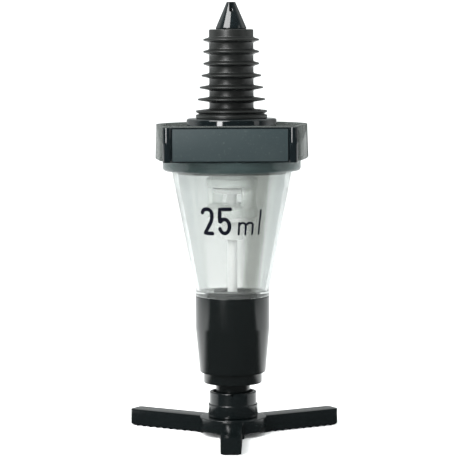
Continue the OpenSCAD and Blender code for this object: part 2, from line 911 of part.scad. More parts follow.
module stem() {
    groove_r = stem_r - clip_groove;
    color("white")
        turned(concat(
            [[0, stem_z], [stem_r - chamfer, stem_z], [stem_r, stem_z + chamfer]],
            [
                for (z = clip_levels)
                    each [[stem_r, z], [groove_r, z], [groove_r, z + clip_h], [stem_r, z + clip_h]]
            ],
            [[stem_r, stem_top - chamfer], [stem_r - chamfer, stem_top], [0, stem_top]]
        ));
}

module stem_clips() {
    bore = stem_r - clip_groove + fixed;
    color("silver")
        for (z = clip_levels)
            open_ring(bore, stem_r + clip_rim, clip_h, z, clip_mouth);
}

module stem_spider() {
    ring_r = tube_bore + spider_step - fixed;
    hub = stem_r + fixed + spider_hub;
    color([0.85, 0.85, 0.83])
        translate([0, 0, spider_z])
            difference() {
                union() {
                    difference() {
                        cylinder(r = ring_r, h = spider_h, $fn = facets);
                        translate([0, 0, -cut])
                            cylinder(r = ring_r - spider_ring, h = spider_h + 2 * cut, $fn = facets);
                    }
                    cylinder(r = hub, h = spider_h, $fn = facets);
                    for (i = [0:spoke_count - 1])
                        rotate([0, 0, 360 * i / spoke_count])
                            translate([0, -spoke_w / 2, 0])
                                cube([ring_r - spider_ring / 2, spoke_w, spider_h]);
                }
                translate([0, 0, -cut])
                    cylinder(r = stem_r + fixed, h = spider_h + 2 * cut, $fn = facets);
            }
}

module spout_tube() {
    groove_r = tube_r - arm_clip_groove;
    color([0.06, 0.06, 0.06])
        turned([
            [tube_bore, tube_end],
            [tube_r, tube_end],
            [tube_r, arm_clip_z],
            [groove_r, arm_clip_z],
            [groove_r, arm_clip_z + arm_clip_h],
            [tube_r, arm_clip_z + arm_clip_h],
            [tube_r, tube_flange_z],
            [tube_flange_r, tube_flange_z],
            [tube_flange_r, tube_top],
            [tube_bore + spider_step, tube_top],
            [tube_bore + spider_step, spider_z],
            [tube_bore - outlet_step, spider_z],
            [tube_bore - outlet_step, tube_end + outlet_h],
            [tube_bore, tube_end + outlet_h]
        ]);
}

module drip_collar() {
    color([0.06, 0.06, 0.06])
        difference() {
            turned([
                [tube_r + fixed, collar_z],
                [collar_r, collar_z],
                [collar_r, cup_z - chamfer],
                [collar_r - chamfer, cup_z],
                [cup_r, cup_z],
                [cup_r, cup_top],
                [cup_bore, cup_top],
                [cup_bore, cup_z + cup_floor],
                [tube_r + fixed, cup_z + cup_floor]
            ]);
            translate([0, 0, cup_top])
                rotate([90, 0, 0])
                    linear_extrude(collar_r + cut)
                        polygon([[-notch_w / 2, cut], [-notch_w / 2, 0], [0, -notch_h],
                            [notch_w / 2, 0], [notch_w / 2, cut]]);
        }
}

module arm_clip() {
    color("silver")
        open_ring(tube_r - arm_clip_groove + fixed, arm_clip_r, arm_clip_h, arm_clip_z, arm_clip_mouth);
}

// Side view of an arm, along X from the hub to the tip, with its scallops
arm_root = arm_clip_r + 1;
scallop_chord = scallop_pitch - scallop_land;
scallop_r = (scallop_chord * scallop_chord / 4 + scallop_depth * scallop_depth) / (2 * scallop_depth);
scallop_count = floor((arm_reach - tip_land - hub_r) / scallop_pitch);
module arm_side() {
    difference() {
        polygon(concat(
            [[arm_root, 0]],
            arc([arm_reach - arm_tip_round, arm_tip_round], arm_tip_round, -90, 0),
            [[arm_reach, arm_h], [arm_root, arm_h]]
        ));
        for (i = [0:scallop_count - 1])
            translate([
                arm_reach - tip_land - (i + 0.5) * scallop_pitch,
                scallop_depth - scallop_r
            ])
                circle(scallop_r, $fn = 48);
    }
}

module press_arms() {
    color([0.07, 0.07, 0.07])
        difference() {
            union() {
                translate([0, 0, hub_rise])
                    cylinder(r = hub_r, h = hub_h, $fn = facets);
                for (i = [0:arm_count - 1])
                    rotate([0, 0, 360 * i / arm_count - 90])
                        rotate([90, 0, 0])
                            translate([0, 0, -arm_w / 2])
                                linear_extrude(arm_w)
                                    arm_side();
            }
            translate([0, 0, hub_rise - cut])
                cylinder(r = tube_r + running, h = hub_h + 2 * cut, $fn = facets);
        }
}

nozzle_tip();
cork();
inlet_tube();
neck_cap();
head_shell();
fascia();
fascia_panel();
head_core();
core_neck();
core_seal();
skirt_ring();
chamber();
valve_cage();
cage_bush();
outlet_bush();
outlet_gasket();
barrel();
neck_ring();
return_spring();
inlet_plug();
inlet_plug_seal();
outlet_plug();
outlet_plug_seal();
stem();
stem_clips();
stem_spider();
spout_tube();
drip_collar();
arm_clip();
press_arms();
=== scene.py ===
"""Dressed model of a spirit measure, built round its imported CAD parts.

Sizes are in millimetres, measured from the spout's mouth up the axis. A mesh
is brought to metres once, in edit mode, when its shape is finished.
"""

import logging
import math
from dataclasses import dataclass
from enum import Enum
from typing import Dict, List, Optional, Sequence, Tuple, Union

import bpy
from mathutils import Matrix, Vector


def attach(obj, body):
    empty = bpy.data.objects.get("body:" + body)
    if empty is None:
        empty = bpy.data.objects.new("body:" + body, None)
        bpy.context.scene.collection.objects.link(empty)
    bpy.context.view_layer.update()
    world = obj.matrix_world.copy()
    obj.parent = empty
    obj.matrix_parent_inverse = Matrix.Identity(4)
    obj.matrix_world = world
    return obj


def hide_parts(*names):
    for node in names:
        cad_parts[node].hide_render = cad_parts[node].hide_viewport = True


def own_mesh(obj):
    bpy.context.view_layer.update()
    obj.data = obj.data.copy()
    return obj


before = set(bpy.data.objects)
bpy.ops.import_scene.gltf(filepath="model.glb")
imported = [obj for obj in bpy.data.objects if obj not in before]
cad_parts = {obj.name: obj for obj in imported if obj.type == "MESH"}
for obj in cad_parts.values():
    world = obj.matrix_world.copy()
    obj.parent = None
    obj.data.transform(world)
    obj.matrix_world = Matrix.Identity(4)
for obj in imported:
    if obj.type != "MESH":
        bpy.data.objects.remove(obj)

LOG = logging.getLogger("measure")
MM = 0.001
TAU = 2.0 * math.pi
SPIN_STEPS = 128
WELD = 0.0005
SMOOTH_UNDER = math.radians(32.0)

# How far a cutter reaches past what it cuts, and the gap round a sliding fit.
PAST = 1.0
SLIDE = 0.03

# Radii of the rounds that a mould leaves, from the sharpest to the softest.
CRISP, FINE, NEAT, SOFT, EASED, BLUNT, FULL = 0.15, 0.2, 0.25, 0.3, 0.35, 0.4, 0.5

Corner = Tuple[float, ...]
Flat = Tuple[float, float]
Colour = Tuple[float, float, float]


class Body(Enum):
    """CAD bodies that a piece can ride on."""

    MEASURE = "measure"
    PLUNGER = "plunger"
    ARMS = "arms"


class Slot(Enum):
    """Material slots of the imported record."""

    BLACK_GLOSS = "black_gloss"
    BLACK_RUBBER = "black_rubber"
    WHITE_PLASTIC = "white_plastic"
    SMOKE_CLEAR = "smoke_clear"
    PANEL_SATIN = "panel_satin"
    BLACK_MATTE = "black_matte"
    SEAL_RUBBER = "seal_rubber"
    CLEAR = "clear"
    BLACK_SATIN = "black_satin"
    SPRING_STEEL = "spring_steel"


# --------------------------------------------------------------------------
# Shader maths
# --------------------------------------------------------------------------


class Wire:
    """A shader socket that takes part in sums."""

    def __init__(self, graph: "Graph", socket: bpy.types.NodeSocket) -> None:
        """Keeps the socket and the graph that new nodes go into.

        Args:
            graph: The node tree that the socket belongs to.
            socket: The output socket.
        """
        self.graph = graph
        self.socket = socket

    def _sum(self, operation: str, first: "Term", second: "Term") -> "Wire":
        """Adds one Math node.

        Args:
            operation: What the node does.
            first: Its first term.
            second: Its second term.

        Returns:
            The result's socket.
        """
        return self.graph.node(
            "ShaderNodeMath", {"operation": operation}, {0: first, 1: second}
        )

    def __add__(self, other: "Term") -> "Wire":
        """Self plus other."""
        return self._sum("ADD", self, other)

    def __radd__(self, other: "Term") -> "Wire":
        """Other plus self."""
        return self._sum("ADD", other, self)

    def __sub__(self, other: "Term") -> "Wire":
        """Self minus other."""
        return self._sum("SUBTRACT", self, other)

    def __rsub__(self, other: "Term") -> "Wire":
        """Other minus self."""
        return self._sum("SUBTRACT", other, self)

    def __mul__(self, other: "Term") -> "Wire":
        """Self times other."""
        return self._sum("MULTIPLY", self, other)

    def __rmul__(self, other: "Term") -> "Wire":
        """Other times self."""
        return self._sum("MULTIPLY", other, self)

    def __truediv__(self, other: "Term") -> "Wire":
        """Self over other."""
        return self._sum("DIVIDE", self, other)

    def __rtruediv__(self, other: "Term") -> "Wire":
        """Other over self."""
        return self._sum("DIVIDE", other, self)

    def __pow__(self, other: "Term") -> "Wire":
        """Self to the power of other."""
        return self._sum("POWER", self, other)

    def __neg__(self) -> "Wire":
        """Self with its sign turned."""
        return self._sum("MULTIPLY", self, -1.0)

    def larger(self, other: "Term") -> "Wire":
        """The larger of self and other."""
        return self._sum("MAXIMUM", self, other)

    def rise(self, low: float, high: float) -> "Wire":
        """Goes smoothly from 0 at low to 1 at high.

        Args:
            low: Value that gives 0.
            high: Value that gives 1.

        Returns:
            The eased socket.
        """
        return self.graph.node(
            "ShaderNodeMapRange",
            {"interpolation_type": "SMOOTHSTEP"},
            {"Value": self, "From Min": low, "From Max": high},
            "Result",
        )

    def scaled(self, factors: Colour) -> "Wire":
        """The vector with each part multiplied by its factor."""
        return self.graph.node(
            "ShaderNodeVectorMath", {"operation": "MULTIPLY"}, {0: self, 1: factors}
        )

    def part(self, axis: str) -> "Wire":
        """One part of a vector, by its letter."""
        return self.graph.node("ShaderNodeSeparateXYZ", {}, {0: self}, axis)


Term = Union[Wire, float, int, Colour, Tuple[float, float, float, float]]


class Graph:
    """The node tree of one material, world or light."""

    def __init__(self, tree: bpy.types.NodeTree) -> None:
        """Empties the tree.

        Args:
            tree: Node tree to fill.
        """
        self.tree = tree
        self.tree.nodes.clear()

    def node(
        self,
        kind: str,
        settings: Optional[Dict[str, object]] = None,
        inputs: Optional[Dict[Union[str, int], Term]] = None,
        output: Union[str, int] = 0,
    ) -> Wire:
        """Adds a node, with its settings, values and links.

        Args:
            kind: Node type.
            settings: Values of the node's own properties.
            inputs: Value or link of each input socket.
            output: Socket that is handed back.

        Returns:
            The chosen output socket.
        """
        made = self.tree.nodes.new(kind)
        for name, value in (settings or {}).items():
            setattr(made, name, value)
        for key, value in (inputs or {}).items():
            if isinstance(value, Wire):
                self.tree.links.new(value.socket, made.inputs[key])
            else:
                made.inputs[key].default_value = value
        return Wire(self, made.outputs[output] if len(made.outputs) else None)

    def principled(self, inputs: Dict[Union[str, int], Term]) -> Wire:
        """A Principled shader with the given values and links."""
        return self.node("ShaderNodeBsdfPrincipled", {}, inputs, "BSDF")

    def ray(self, kind: str) -> Wire:
        """1 for rays of a kind, by the name of the Light Path output."""
        return self.node("ShaderNodeLightPath", {}, {}, kind)

    def place(self) -> Wire:
        """Place of the shaded point in the object's own axes, in metres."""
        return self.node("ShaderNodeTexCoord", {}, {}, "Object")

    def noise(self, place: Wire, size: float, detail: float = 2.0) -> Wire:
        """Noise from 0 to 1.

        Args:
            place: Point that the noise is read at.
            size: Size of its lumps in millimetres.
            detail: Number of finer layers.

        Returns:
            The noise.
        """
        inputs = {"Vector": place, "Scale": 1.0 / (size * MM), "Detail": detail}
        return self.node("ShaderNodeTexNoise", {}, inputs, "Fac")

    def blend(self, factor: Term, first: Term, second: Term) -> Wire:
        """Colour between two colours.

        Args:
            factor: Share of the second colour.
            first: Colour at 0.
            second: Colour at 1.

        Returns:
            The mixed colour.
        """
        ends = {0: factor, 6: opaque(first), 7: opaque(second)}
        return self.node("ShaderNodeMix", {"data_type": "RGBA"}, ends, 2)

    def through(self) -> Wire:
        """1 for rays that have just passed through glass."""
        return self.ray("Is Transmission Ray")

    def mirrored(self) -> Wire:
        """1 for rays that a shiny face has just thrown back."""
        return self.ray("Is Glossy Ray") * (1.0 - self.through())

    def bump(self, height: Wire, depth: float) -> Wire:
        """Normal of a surface whose height goes up and down by depth.

        Args:
            height: Height from 0 to 1.
            depth: Difference between 0 and 1 in millimetres.

        Returns:
            The bumped normal.
        """
        inputs = {"Height": height, "Distance": depth * MM, "Strength": 1.0}
        return self.node("ShaderNodeBump", {}, inputs, "Normal")


def opaque(colour: Term) -> Term:
    """Gives a plain colour its full alpha.

    Args:
        colour: Three parts, or anything else that a colour input takes.

    Returns:
        Four parts, or what came in.
    """
    if isinstance(colour, tuple) and len(colour) == 3:
        return (*colour, 1.0)
    return colour


# --------------------------------------------------------------------------
# Finishes
# --------------------------------------------------------------------------


@dataclass(frozen=True)
class Finish:
    """A named surface finish, made once and shared."""

    name: str

    def material(self) -> bpy.types.Material:
        """Makes the finish's material when it is first asked for.

        Returns:
            The material.
        """
        found = bpy.data.materials.get(self.name)
        if found is None:
            found = bpy.data.materials.new(self.name)
            found.use_nodes = True
            graph = Graph(found.node_tree)
            surface = self.surface(graph)
            graph.node("ShaderNodeOutputMaterial", {}, {"Surface": surface})
        return found

    def surface(self, graph: Graph) -> Wire:
        """Builds the shader of the finish.

        Args:
            graph: Empty node tree.

        Returns:
            The shader socket.
        """
        raise NotImplementedError


@dataclass(frozen=True)
class Moulded(Finish):
    """Opaque moulded plastic or rubber, with grain, clouds and dust."""

    colour: Colour = (0.01, 0.011, 0.011)
    dust: Colour = (0.1, 0.105, 0.1)
    dust_share: float = 0.1
    roughness: float = 0.3
    cloud: float = 0.08
    cloud_size: float = 9.0
    grain_size: float = 0.25
    grain_depth: float = 0.004
    speck_size: float = 0.7
    specks_between: Tuple[float, float] = (0.58, 0.8)
    coat: float = 0.0
    coat_roughness: float = 0.06
    index: float = 1.49
    scatter: float = 0.0
    scatter_reach: Colour = (0.9 * MM, 0.8 * MM, 0.7 * MM)

    def surface(self, graph: Graph) -> Wire:
        """Principled shader whose tone, gloss and bump vary over the piece.

        Args:
            graph: Empty node tree.

        Returns:
            The shader socket.
        """
        place = graph.place()
        grain = graph.noise(place, self.grain_size, 3.0)
        cloud = graph.noise(place, self.cloud_size)
        specks = graph.noise(place, self.speck_size, 4.0).rise(*self.specks_between)
        share = specks * self.dust_share + (cloud - 0.5) * (self.dust_share * 0.5)
        rough = self.roughness + (cloud - 0.5) * self.cloud + specks * (self.cloud * 0.5)
        return graph.principled({
            "Base Color": graph.blend(share, self.colour, self.dust),
            "Roughness": rough,
            "IOR": self.index,
            "Coat Weight": self.coat,
            "Coat Roughness": self.coat_roughness,
            "Subsurface Weight": self.scatter,
            "Subsurface Radius": self.scatter_reach,
            "Normal": graph.bump(grain, self.grain_depth),
        })


@dataclass(frozen=True)
class Clear(Finish):
    """Clear moulded plastic that lets light through to what lies inside."""

    tint: Colour = (0.9, 0.93, 0.91)
    roughness: float = 0.03
    index: float = 1.5
    haze: float = 0.0
    haze_colour: Colour = (0.5, 0.52, 0.5)
    haze_roughness: float = 0.6
    haze_index: float = 1.15
    wave: float = 0.004
    wave_size: float = 2.4
    cloud_size: float = 14.0
    shade: Colour = (0.935, 0.94, 0.935)

    def tone(self, graph: Graph, place: Wire) -> Term:
        """Colour of the light that comes through at a place.

        Args:
            graph: Node tree of the material.
            place: The shaded point.

        Returns:
            The colour.
        """
        cloud = graph.noise(place, 9.0, 2.0)
        darker = tuple(0.94 * part for part in self.tint)
        return graph.blend(cloud.rise(0.35, 0.75) * 0.5, self.tint, darker)

    def surface(self, graph: Graph) -> Wire:
        """Refracting shader with faint waves; shadow and diffuse rays go straight on.

        Args:
            graph: Empty node tree.

        Returns:
            The shader socket.
        """
        place = graph.place()
        cloud = graph.noise(place, self.cloud_size)
        streaks = graph.noise(place.scaled((1.0, 1.0, 0.12)), self.wave_size)
        glass = graph.principled({
            "Base Color": self.tone(graph, place),
            "Roughness": self.roughness + (cloud - 0.5) * self.roughness,
            "IOR": self.index,
            "Transmission Weight": 1.0,
            "Normal": graph.bump(streaks, self.wave),
        })
        milk = graph.principled({
            "Base Color": opaque(self.haze_colour),
            "Roughness": self.haze_roughness,
            "IOR": self.haze_index,
        })
        share = self.haze + (cloud - 0.5) * self.haze
        body = graph.node("ShaderNodeMixShader", {}, {0: share, 1: glass, 2: milk})
        straight = graph.node("ShaderNodeBsdfTransparent", {}, {"Color": opaque(self.shade)})
        plain = graph.ray("Is Shadow Ray").larger(graph.ray("Is Diffuse Ray"))
        return graph.node("ShaderNodeMixShader", {}, {0: plain, 1: body, 2: straight})


@dataclass(frozen=True)
class ChamberClear(Clear):
    """The chamber's plastic, with painted light low down and painted shade at its sides and in one
    upright band.
    """

    # painted light: a lighter tint low down, blended into the plastic's tint with the height
    painted_light_low_tint: Colour = (0.75, 0.757, 0.748)
    low_z: float = 52.0
    high_z: float = 92.0
    # painted shade: a darker tint towards the cone's sides
    painted_shade_side_share: float = 0.8
    painted_shade_side_tint: Colour = (0.4, 0.43, 0.425)
    # painted shade: a darker upright band over the front, between the band's angles in degrees
    painted_shade_band_tint: Colour = (0.3, 0.31, 0.29)
    band: Tuple[float, float, float, float] = (6.0, 25.0, 34.0, 50.0)

    def tone(self, graph: Graph, place: Wire) -> Term:
        """Tint with painted light low down and painted shade at the sides and inside the front's
        band.

        Args:
            graph: Node tree of the material.
            place: The shaded point.

        Returns:
            The colour.
        """
        across, depth = place.part("X"), place.part("Y")
        height = place.part("Z").rise(self.low_z * MM, self.high_z * MM)
        cloud = graph.noise(place.scaled((1.0, 1.0, 0.3)), 6.0, 2.0)
        # painted light: the tint is lighter low down
        tone = graph.blend(height, self.painted_light_low_tint, self.tint)
        # painted shade: darker towards the sides
        around = across * across / (across * across + depth * depth)
        tone = graph.blend(around.rise(0.3, 1.0) * self.painted_shade_side_share, tone, self.painted_shade_side_tint)
        # painted shade: a darker upright band across the front
        slope = across / (-depth).larger(MM) + (cloud - 0.5) * 0.12
        start, full, fade, end = (math.tan(math.radians(edge)) for edge in self.band)
        inside = slope.rise(start, full) * (1.0 - slope.rise(fade, end))
        return graph.blend(inside, tone, self.painted_shade_band_tint)


@dataclass(frozen=True)
class DrawnSteel(Finish):
    """Drawn wire or stamped sheet steel, with fine lines along it."""

    colour: Colour = (0.56, 0.57, 0.58)
    stain: Colour = (0.34, 0.33, 0.31)
    roughness: float = 0.28
    line_depth: float = 0.003

    def surface(self, graph: Graph) -> Wire:
        """Metallic shader with drawing lines.

        Args:
            graph: Empty node tree.

        Returns:
            The shader socket.
        """
        place = graph.place()
        lines = graph.noise(place.scaled((1.0, 1.0, 6.0)), 0.5, 3.0)
        stain = graph.noise(place, 3.0, 2.0).rise(0.5, 0.8)
        return graph.principled({
            "Base Color": graph.blend(stain * 0.3, self.colour, self.stain),
            "Metallic": 1.0,
            "Roughness": self.roughness + (lines - 0.5) * 0.2,
            "Normal": graph.bump(lines, self.line_depth),
        })


@dataclass(frozen=True)
class PrintedInk(Finish):
    """Screen-printed ink, slightly uneven where it thins."""

    colour: Colour = (0.0022, 0.0028, 0.007)
    thin: Colour = (0.02, 0.024, 0.034)
    roughness: float = 0.5
    index: float = 1.16
    depth: float = 0.002

    def surface(self, graph: Graph) -> Wire:
        """Dark satin shader with small uneven spots.

        Args:
            graph: Empty node tree.

        Returns:
            The shader socket.
        """
        spots = graph.noise(graph.place(), 0.35, 3.0)
        return graph.principled({
            "Base Color": graph.blend(spots.rise(0.62, 0.9) * 0.2, self.colour, self.thin),
            "Roughness": self.roughness + spots * 0.12,
            "IOR": self.index,
            "Normal": graph.bump(spots, self.depth),
        })


@dataclass(frozen=True)
class PaleFloor(Finish):
    """Plain matt white floor, which shiny faces see as dark in front of the object."""

    colour: Colour = (0.93, 0.93, 0.93)
    cloud: Colour = (0.92, 0.92, 0.92)
    dark_to: float = 30.0
    white_from: float = 80.0
    spread: float = 0.35
    dark: Colour = (0.08, 0.08, 0.08)

    def surface(self, graph: Graph) -> Wire:
        """Diffuse shader; mirrored rays fade to dark towards the front.

        Args:
            graph: Empty node tree.

        Returns:
            The shader socket.
        """
        place = graph.place()
        tone = graph.blend(graph.noise(place, 90.0, 1.0) * 0.1, self.colour, self.cloud)
        white = graph.node("ShaderNodeBsdfDiffuse", {}, {"Color": tone, "Roughness": 0.0}, "BSDF")
        dark = graph.node("ShaderNodeEmission", {}, {"Color": opaque(self.dark), "Strength": 1.0})
        across = place.part("X")
        behind = place.part("Y") + across.larger(-across) * self.spread
        front = 1.0 - behind.rise(self.dark_to * MM, self.white_from * MM)
        share = front * graph.mirrored()
        return graph.node("ShaderNodeMixShader", {}, {0: share, 1: white, 2: dark})


GLOSS_BLACK = Moulded(
    "gloss_black", colour=(0.003, 0.0052, 0.006), dust=(0.04, 0.045, 0.045), dust_share=0.04,
    roughness=0.09, cloud=0.04, grain_size=1.4, grain_depth=0.003, coat=0.2,
)
CORK_RUBBER = Moulded(
    "cork_rubber", colour=(0.0085, 0.0095, 0.009), dust=(0.05, 0.054, 0.051), dust_share=0.1,
    roughness=0.36, cloud=0.12, cloud_size=5.0, grain_size=0.18, grain_depth=0.01,
    index=1.42,
)
SATIN_BLACK = Moulded(
    "satin_black", colour=(0.003, 0.0042, 0.0042), dust=(0.05, 0.055, 0.052), dust_share=0.06,
    roughness=0.17, cloud=0.08, cloud_size=7.0, grain_size=0.5, grain_depth=0.004, index=1.5,
)
ARM_BLACK = Moulded(
    "arm_black", colour=(0.003, 0.0045, 0.0048), dust=(0.05, 0.055, 0.055), dust_share=0.06,
    roughness=0.14, cloud=0.07, cloud_size=6.0, grain_size=0.8, grain_depth=0.005, index=1.5,
)
MATTE_BLACK = Moulded(
    "matte_black", colour=(0.009, 0.0095, 0.0095), dust_share=0.08, roughness=0.5,
    grain_depth=0.008,
)
PANEL_SATIN = Moulded(
    "panel_satin_grey", colour=(0.018, 0.027, 0.029), dust=(0.07, 0.085, 0.078), dust_share=0.34,
    roughness=0.5, index=1.28, cloud=0.12, cloud_size=11.0, grain_size=0.22, grain_depth=0.006,
)
WHITE_MOULDED = Moulded(
    "white_moulded", colour=(0.51, 0.515, 0.51), dust=(0.43, 0.432, 0.43), dust_share=0.2,
    roughness=0.36, grain_size=0.4, grain_depth=0.004, scatter=0.12,
)
PALE_SILICONE = Moulded(
    "pale_silicone", colour=(0.5, 0.52, 0.51), dust=(0.4, 0.41, 0.4), dust_share=0.2,
    roughness=0.45, grain_depth=0.004, scatter=0.1,
)
SEAL_RUBBER = Moulded(
    "seal_ring_rubber", colour=(0.01, 0.01, 0.01), dust_share=0.05, roughness=0.42,
    grain_depth=0.006,
)
BUSH_RUBBER = Moulded(
    "bush_rubber", colour=(0.008, 0.0095, 0.0095), dust_share=0.05, roughness=0.8, index=1.2,
    grain_depth=0.006,
)
SMOKE = Clear(
    "smoke_grey", tint=(0.2, 0.218, 0.21), roughness=0.12, index=1.08, haze=0.58,
    haze_colour=(0.085, 0.093, 0.089), wave=0.001,
)
SKIRT_SMOKE = Clear(
    "skirt_smoke", tint=(0.3, 0.35, 0.345), roughness=0.14, index=1.45, haze=0.34,
    haze_colour=(0.034, 0.052, 0.052), wave=0.01,
)
CHAMBER_CLEAR = ChamberClear(
    "chamber_clear", tint=(0.665, 0.682, 0.672), roughness=0.02, index=1.48, haze=0.05,
    haze_colour=(0.45, 0.47, 0.46), wave=0.0004,
)
CAGE_CLEAR = Clear(
    "cage_clear", tint=(0.93, 0.945, 0.935), roughness=0.16, index=1.4, haze=0.24,
    haze_colour=(0.74, 0.76, 0.74), wave=0.002,
)
BOSS_CLEAR = Clear(
    "boss_clear", tint=(0.8, 0.82, 0.81), roughness=0.14, index=1.4, haze=0.3,
    haze_colour=(0.42, 0.44, 0.43), wave=0.002,
)
STEEL = DrawnSteel("drawn_steel")
INK = PrintedInk("capacity_ink")
FLOOR = PaleFloor("pale_floor")


# --------------------------------------------------------------------------
# Modelling
# --------------------------------------------------------------------------


def arc(centre: Flat, radius: float, start: float, end: float, steps: int = 6) -> List[Flat]:
    """Points along an arc.

    Args:
        centre: Its centre.
        radius: Its radius.
        start: First angle in degrees.
        end: Last angle in degrees.
        steps: Number of chords.

    Returns:
        The points, both ends included.
    """
    angles = [math.radians(start + (end - start) * i / steps) for i in range(steps + 1)]
    return [
        (centre[0] + radius * math.cos(a), centre[1] + radius * math.sin(a)) for a in angles
    ]


def circle(centre: Flat, radius: float, count: int) -> List[Flat]:
    """The given number of points all round a circle."""
    return arc(centre, radius, 0.0, 360.0 - 360.0 / count, count - 1)


def around(degrees: float, axis: str = "Z") -> Matrix:
    """Turn about an axis through the middle of the tube's mouth."""
    return Matrix.Rotation(math.radians(degrees), 4, axis)


def ease(corners: Sequence[Corner], steps: int = 4) -> List[Flat]:
    """Rounds the corners of a closed outline.

    Args:
        corners: Two places each, and a radius where the corner is round.
        steps: Chords of each round corner.

    Returns:
        The outline's points.
    """
    made: List[Flat] = []
    count = len(corners)
    for i, corner in enumerate(corners):
        here = Vector(corner[:2])
        radius = corner[2] if len(corner) > 2 else 0.0
        back = Vector(corners[(i - 1) % count][:2]) - here
        ahead = Vector(corners[(i + 1) % count][:2]) - here
        if radius <= 0.0 or back.length < WELD or ahead.length < WELD:
            made.append((here.x, here.y))
            continue
        half = back.angle(ahead) / 2.0
        reach = min(radius / math.tan(half), 0.48 * back.length, 0.48 * ahead.length)
        radius = reach * math.tan(half)
        middle = here + (back.normalized() + ahead.normalized()).normalized() * (
            radius / math.sin(half)
        )
        first = here + back.normalized() * reach - middle
        last = here + ahead.normalized() * reach - middle
        start = math.atan2(first.y, first.x)
        turn = math.atan2(last.y, last.x) - start
        turn = (turn + math.pi) % TAU - math.pi
        made += arc(
            (middle.x, middle.y), radius, math.degrees(start), math.degrees(start + turn), steps
        )
    return made


def clear_selection() -> None:
    """Leaves edit mode and deselects every object."""
    if bpy.context.mode != "OBJECT":
        bpy.ops.object.mode_set(mode="OBJECT")
    bpy.ops.object.select_all(action="DESELECT")


def work_on(piece: bpy.types.Object) -> None:
    """Makes the piece the only selected and active object.

    Args:
        piece: Piece to work on.
    """
    clear_selection()
    piece.select_set(True)
    bpy.context.view_layer.objects.active = piece


def edit(piece: bpy.types.Object) -> None:
    """Opens the piece in edit mode with everything selected.

    Args:
        piece: Piece to edit.
    """
    work_on(piece)
    bpy.ops.object.mode_set(mode="EDIT")
    bpy.ops.mesh.select_mode(type="VERT")
    bpy.ops.mesh.select_all(action="SELECT")


def chain(name: str, points: Sequence[Sequence[float]], closed: bool) -> bpy.types.Object:
    """Draws a line of edges from one vertex, by extruding it from point to point.

    Args:
        name: Name of the new piece.
        points: Places in millimetres.
        closed: Whether the line ends where it starts.

    Returns:
        The new piece, in edit mode with everything selected.
    """
    clear_selection()
    bpy.ops.mesh.primitive_plane_add(size=1.0, location=(0.0, 0.0, 0.0))
    piece = bpy.context.object
    piece.name = name
    piece.data.name = name
    bpy.ops.object.mode_set(mode="EDIT")
    bpy.ops.mesh.select_mode(type="VERT")
    bpy.ops.mesh.select_all(action="SELECT")
    bpy.ops.mesh.merge(type="CENTER")
    here = Vector((0.0, 0.0, 0.0))
    stops = [Vector(p) for p in points]
    bpy.ops.transform.translate(value=stops[0] - here)
    here = stops[0]
    for there in stops[1:] + (stops[:1] if closed else []):
        bpy.ops.mesh.extrude_region_move(TRANSFORM_OT_translate={"value": there - here})
        here = there
    bpy.ops.mesh.select_all(action="SELECT")
    bpy.ops.mesh.remove_doubles(threshold=WELD)
    return piece


def weld(piece: bpy.types.Object) -> None:
    """Merges doubles and turns every face outwards.

    Args:
        piece: Piece to mend.
    """
    edit(piece)
    bpy.ops.mesh.remove_doubles(threshold=WELD)
    bpy.ops.mesh.normals_make_consistent(inside=False)
    clear_selection()


def spun(
    name: str, outline: Sequence[Flat], steps: int = SPIN_STEPS, sweep: float = TAU
) -> bpy.types.Object:
    """Turns a closed outline of radius and height round the axis.

    Args:
        name: Name of the new piece.
        outline: Radius and height of each point.
        steps: Number of steps round the sweep.
        sweep: Angle in radians.

    Returns:
        The piece, in object mode and in millimetres.
    """
    whole = sweep >= TAU
    ends_on_axis = outline[0][0] < WELD and outline[-1][0] < WELD
    closed = not (ends_on_axis and whole)
    piece = chain(name, [(r, 0.0, z) for r, z in outline], closed)
    if not whole:
        bpy.ops.mesh.edge_face_add()
    bpy.ops.mesh.select_all(action="SELECT")
    bpy.ops.mesh.spin(steps=steps, angle=sweep, center=(0.0, 0.0, 0.0), axis=(0.0, 0.0, 1.0))
    weld(piece)
    return piece


def rod(name: str, radius: float, low: float, high: float) -> bpy.types.Object:
    """A plain round bar on the axis, to cut with."""
    return spun(name, [(0.0, low), (radius, low), (radius, high), (0.0, high)])


def prism(
    name: str, outline: Sequence[Flat], low: float, high: float, top_scale: float = 1.0
) -> bpy.types.Object:
    """Raises a closed plan outline into a solid.

    Args:
        name: Name of the new piece.
        outline: Plan points.
        low: Level of its underside.
        high: Level of its top.
        top_scale: Size of the top against the underside, for draft.

    Returns:
        The piece, in object mode and in millimetres.
    """
    piece = chain(name, [(x, y, low) for x, y in outline], True)
    bpy.ops.mesh.edge_face_add()
    bpy.ops.mesh.extrude_region_move(TRANSFORM_OT_translate={"value": (0.0, 0.0, high - low)})
    if top_scale != 1.0:
        bpy.ops.transform.resize(
            value=(top_scale, top_scale, 1.0), center_override=(0.0, 0.0, high)
        )
    weld(piece)
    return piece


def apply_modifiers(piece: bpy.types.Object) -> None:
    """Applies every modifier of the piece, in order.

    Args:
        piece: Piece whose modifiers are applied.
    """
    work_on(piece)
    for modifier in list(piece.modifiers):
        bpy.ops.object.modifier_apply(modifier=modifier.name)


def combine(piece: bpy.types.Object, tools: Sequence[bpy.types.Object], how: str) -> None:
    """Cuts the tools from the piece, or joins them to it as one solid.

    Args:
        piece: Piece that is kept.
        tools: Pieces that are used up.
        how: DIFFERENCE or UNION.
    """
    for tool in tools:
        modifier = piece.modifiers.new("combine", "BOOLEAN")
        modifier.operation = how
        modifier.solver = "EXACT"
        modifier.object = tool
        apply_modifiers(piece)
        bpy.data.objects.remove(tool)
    weld(piece)


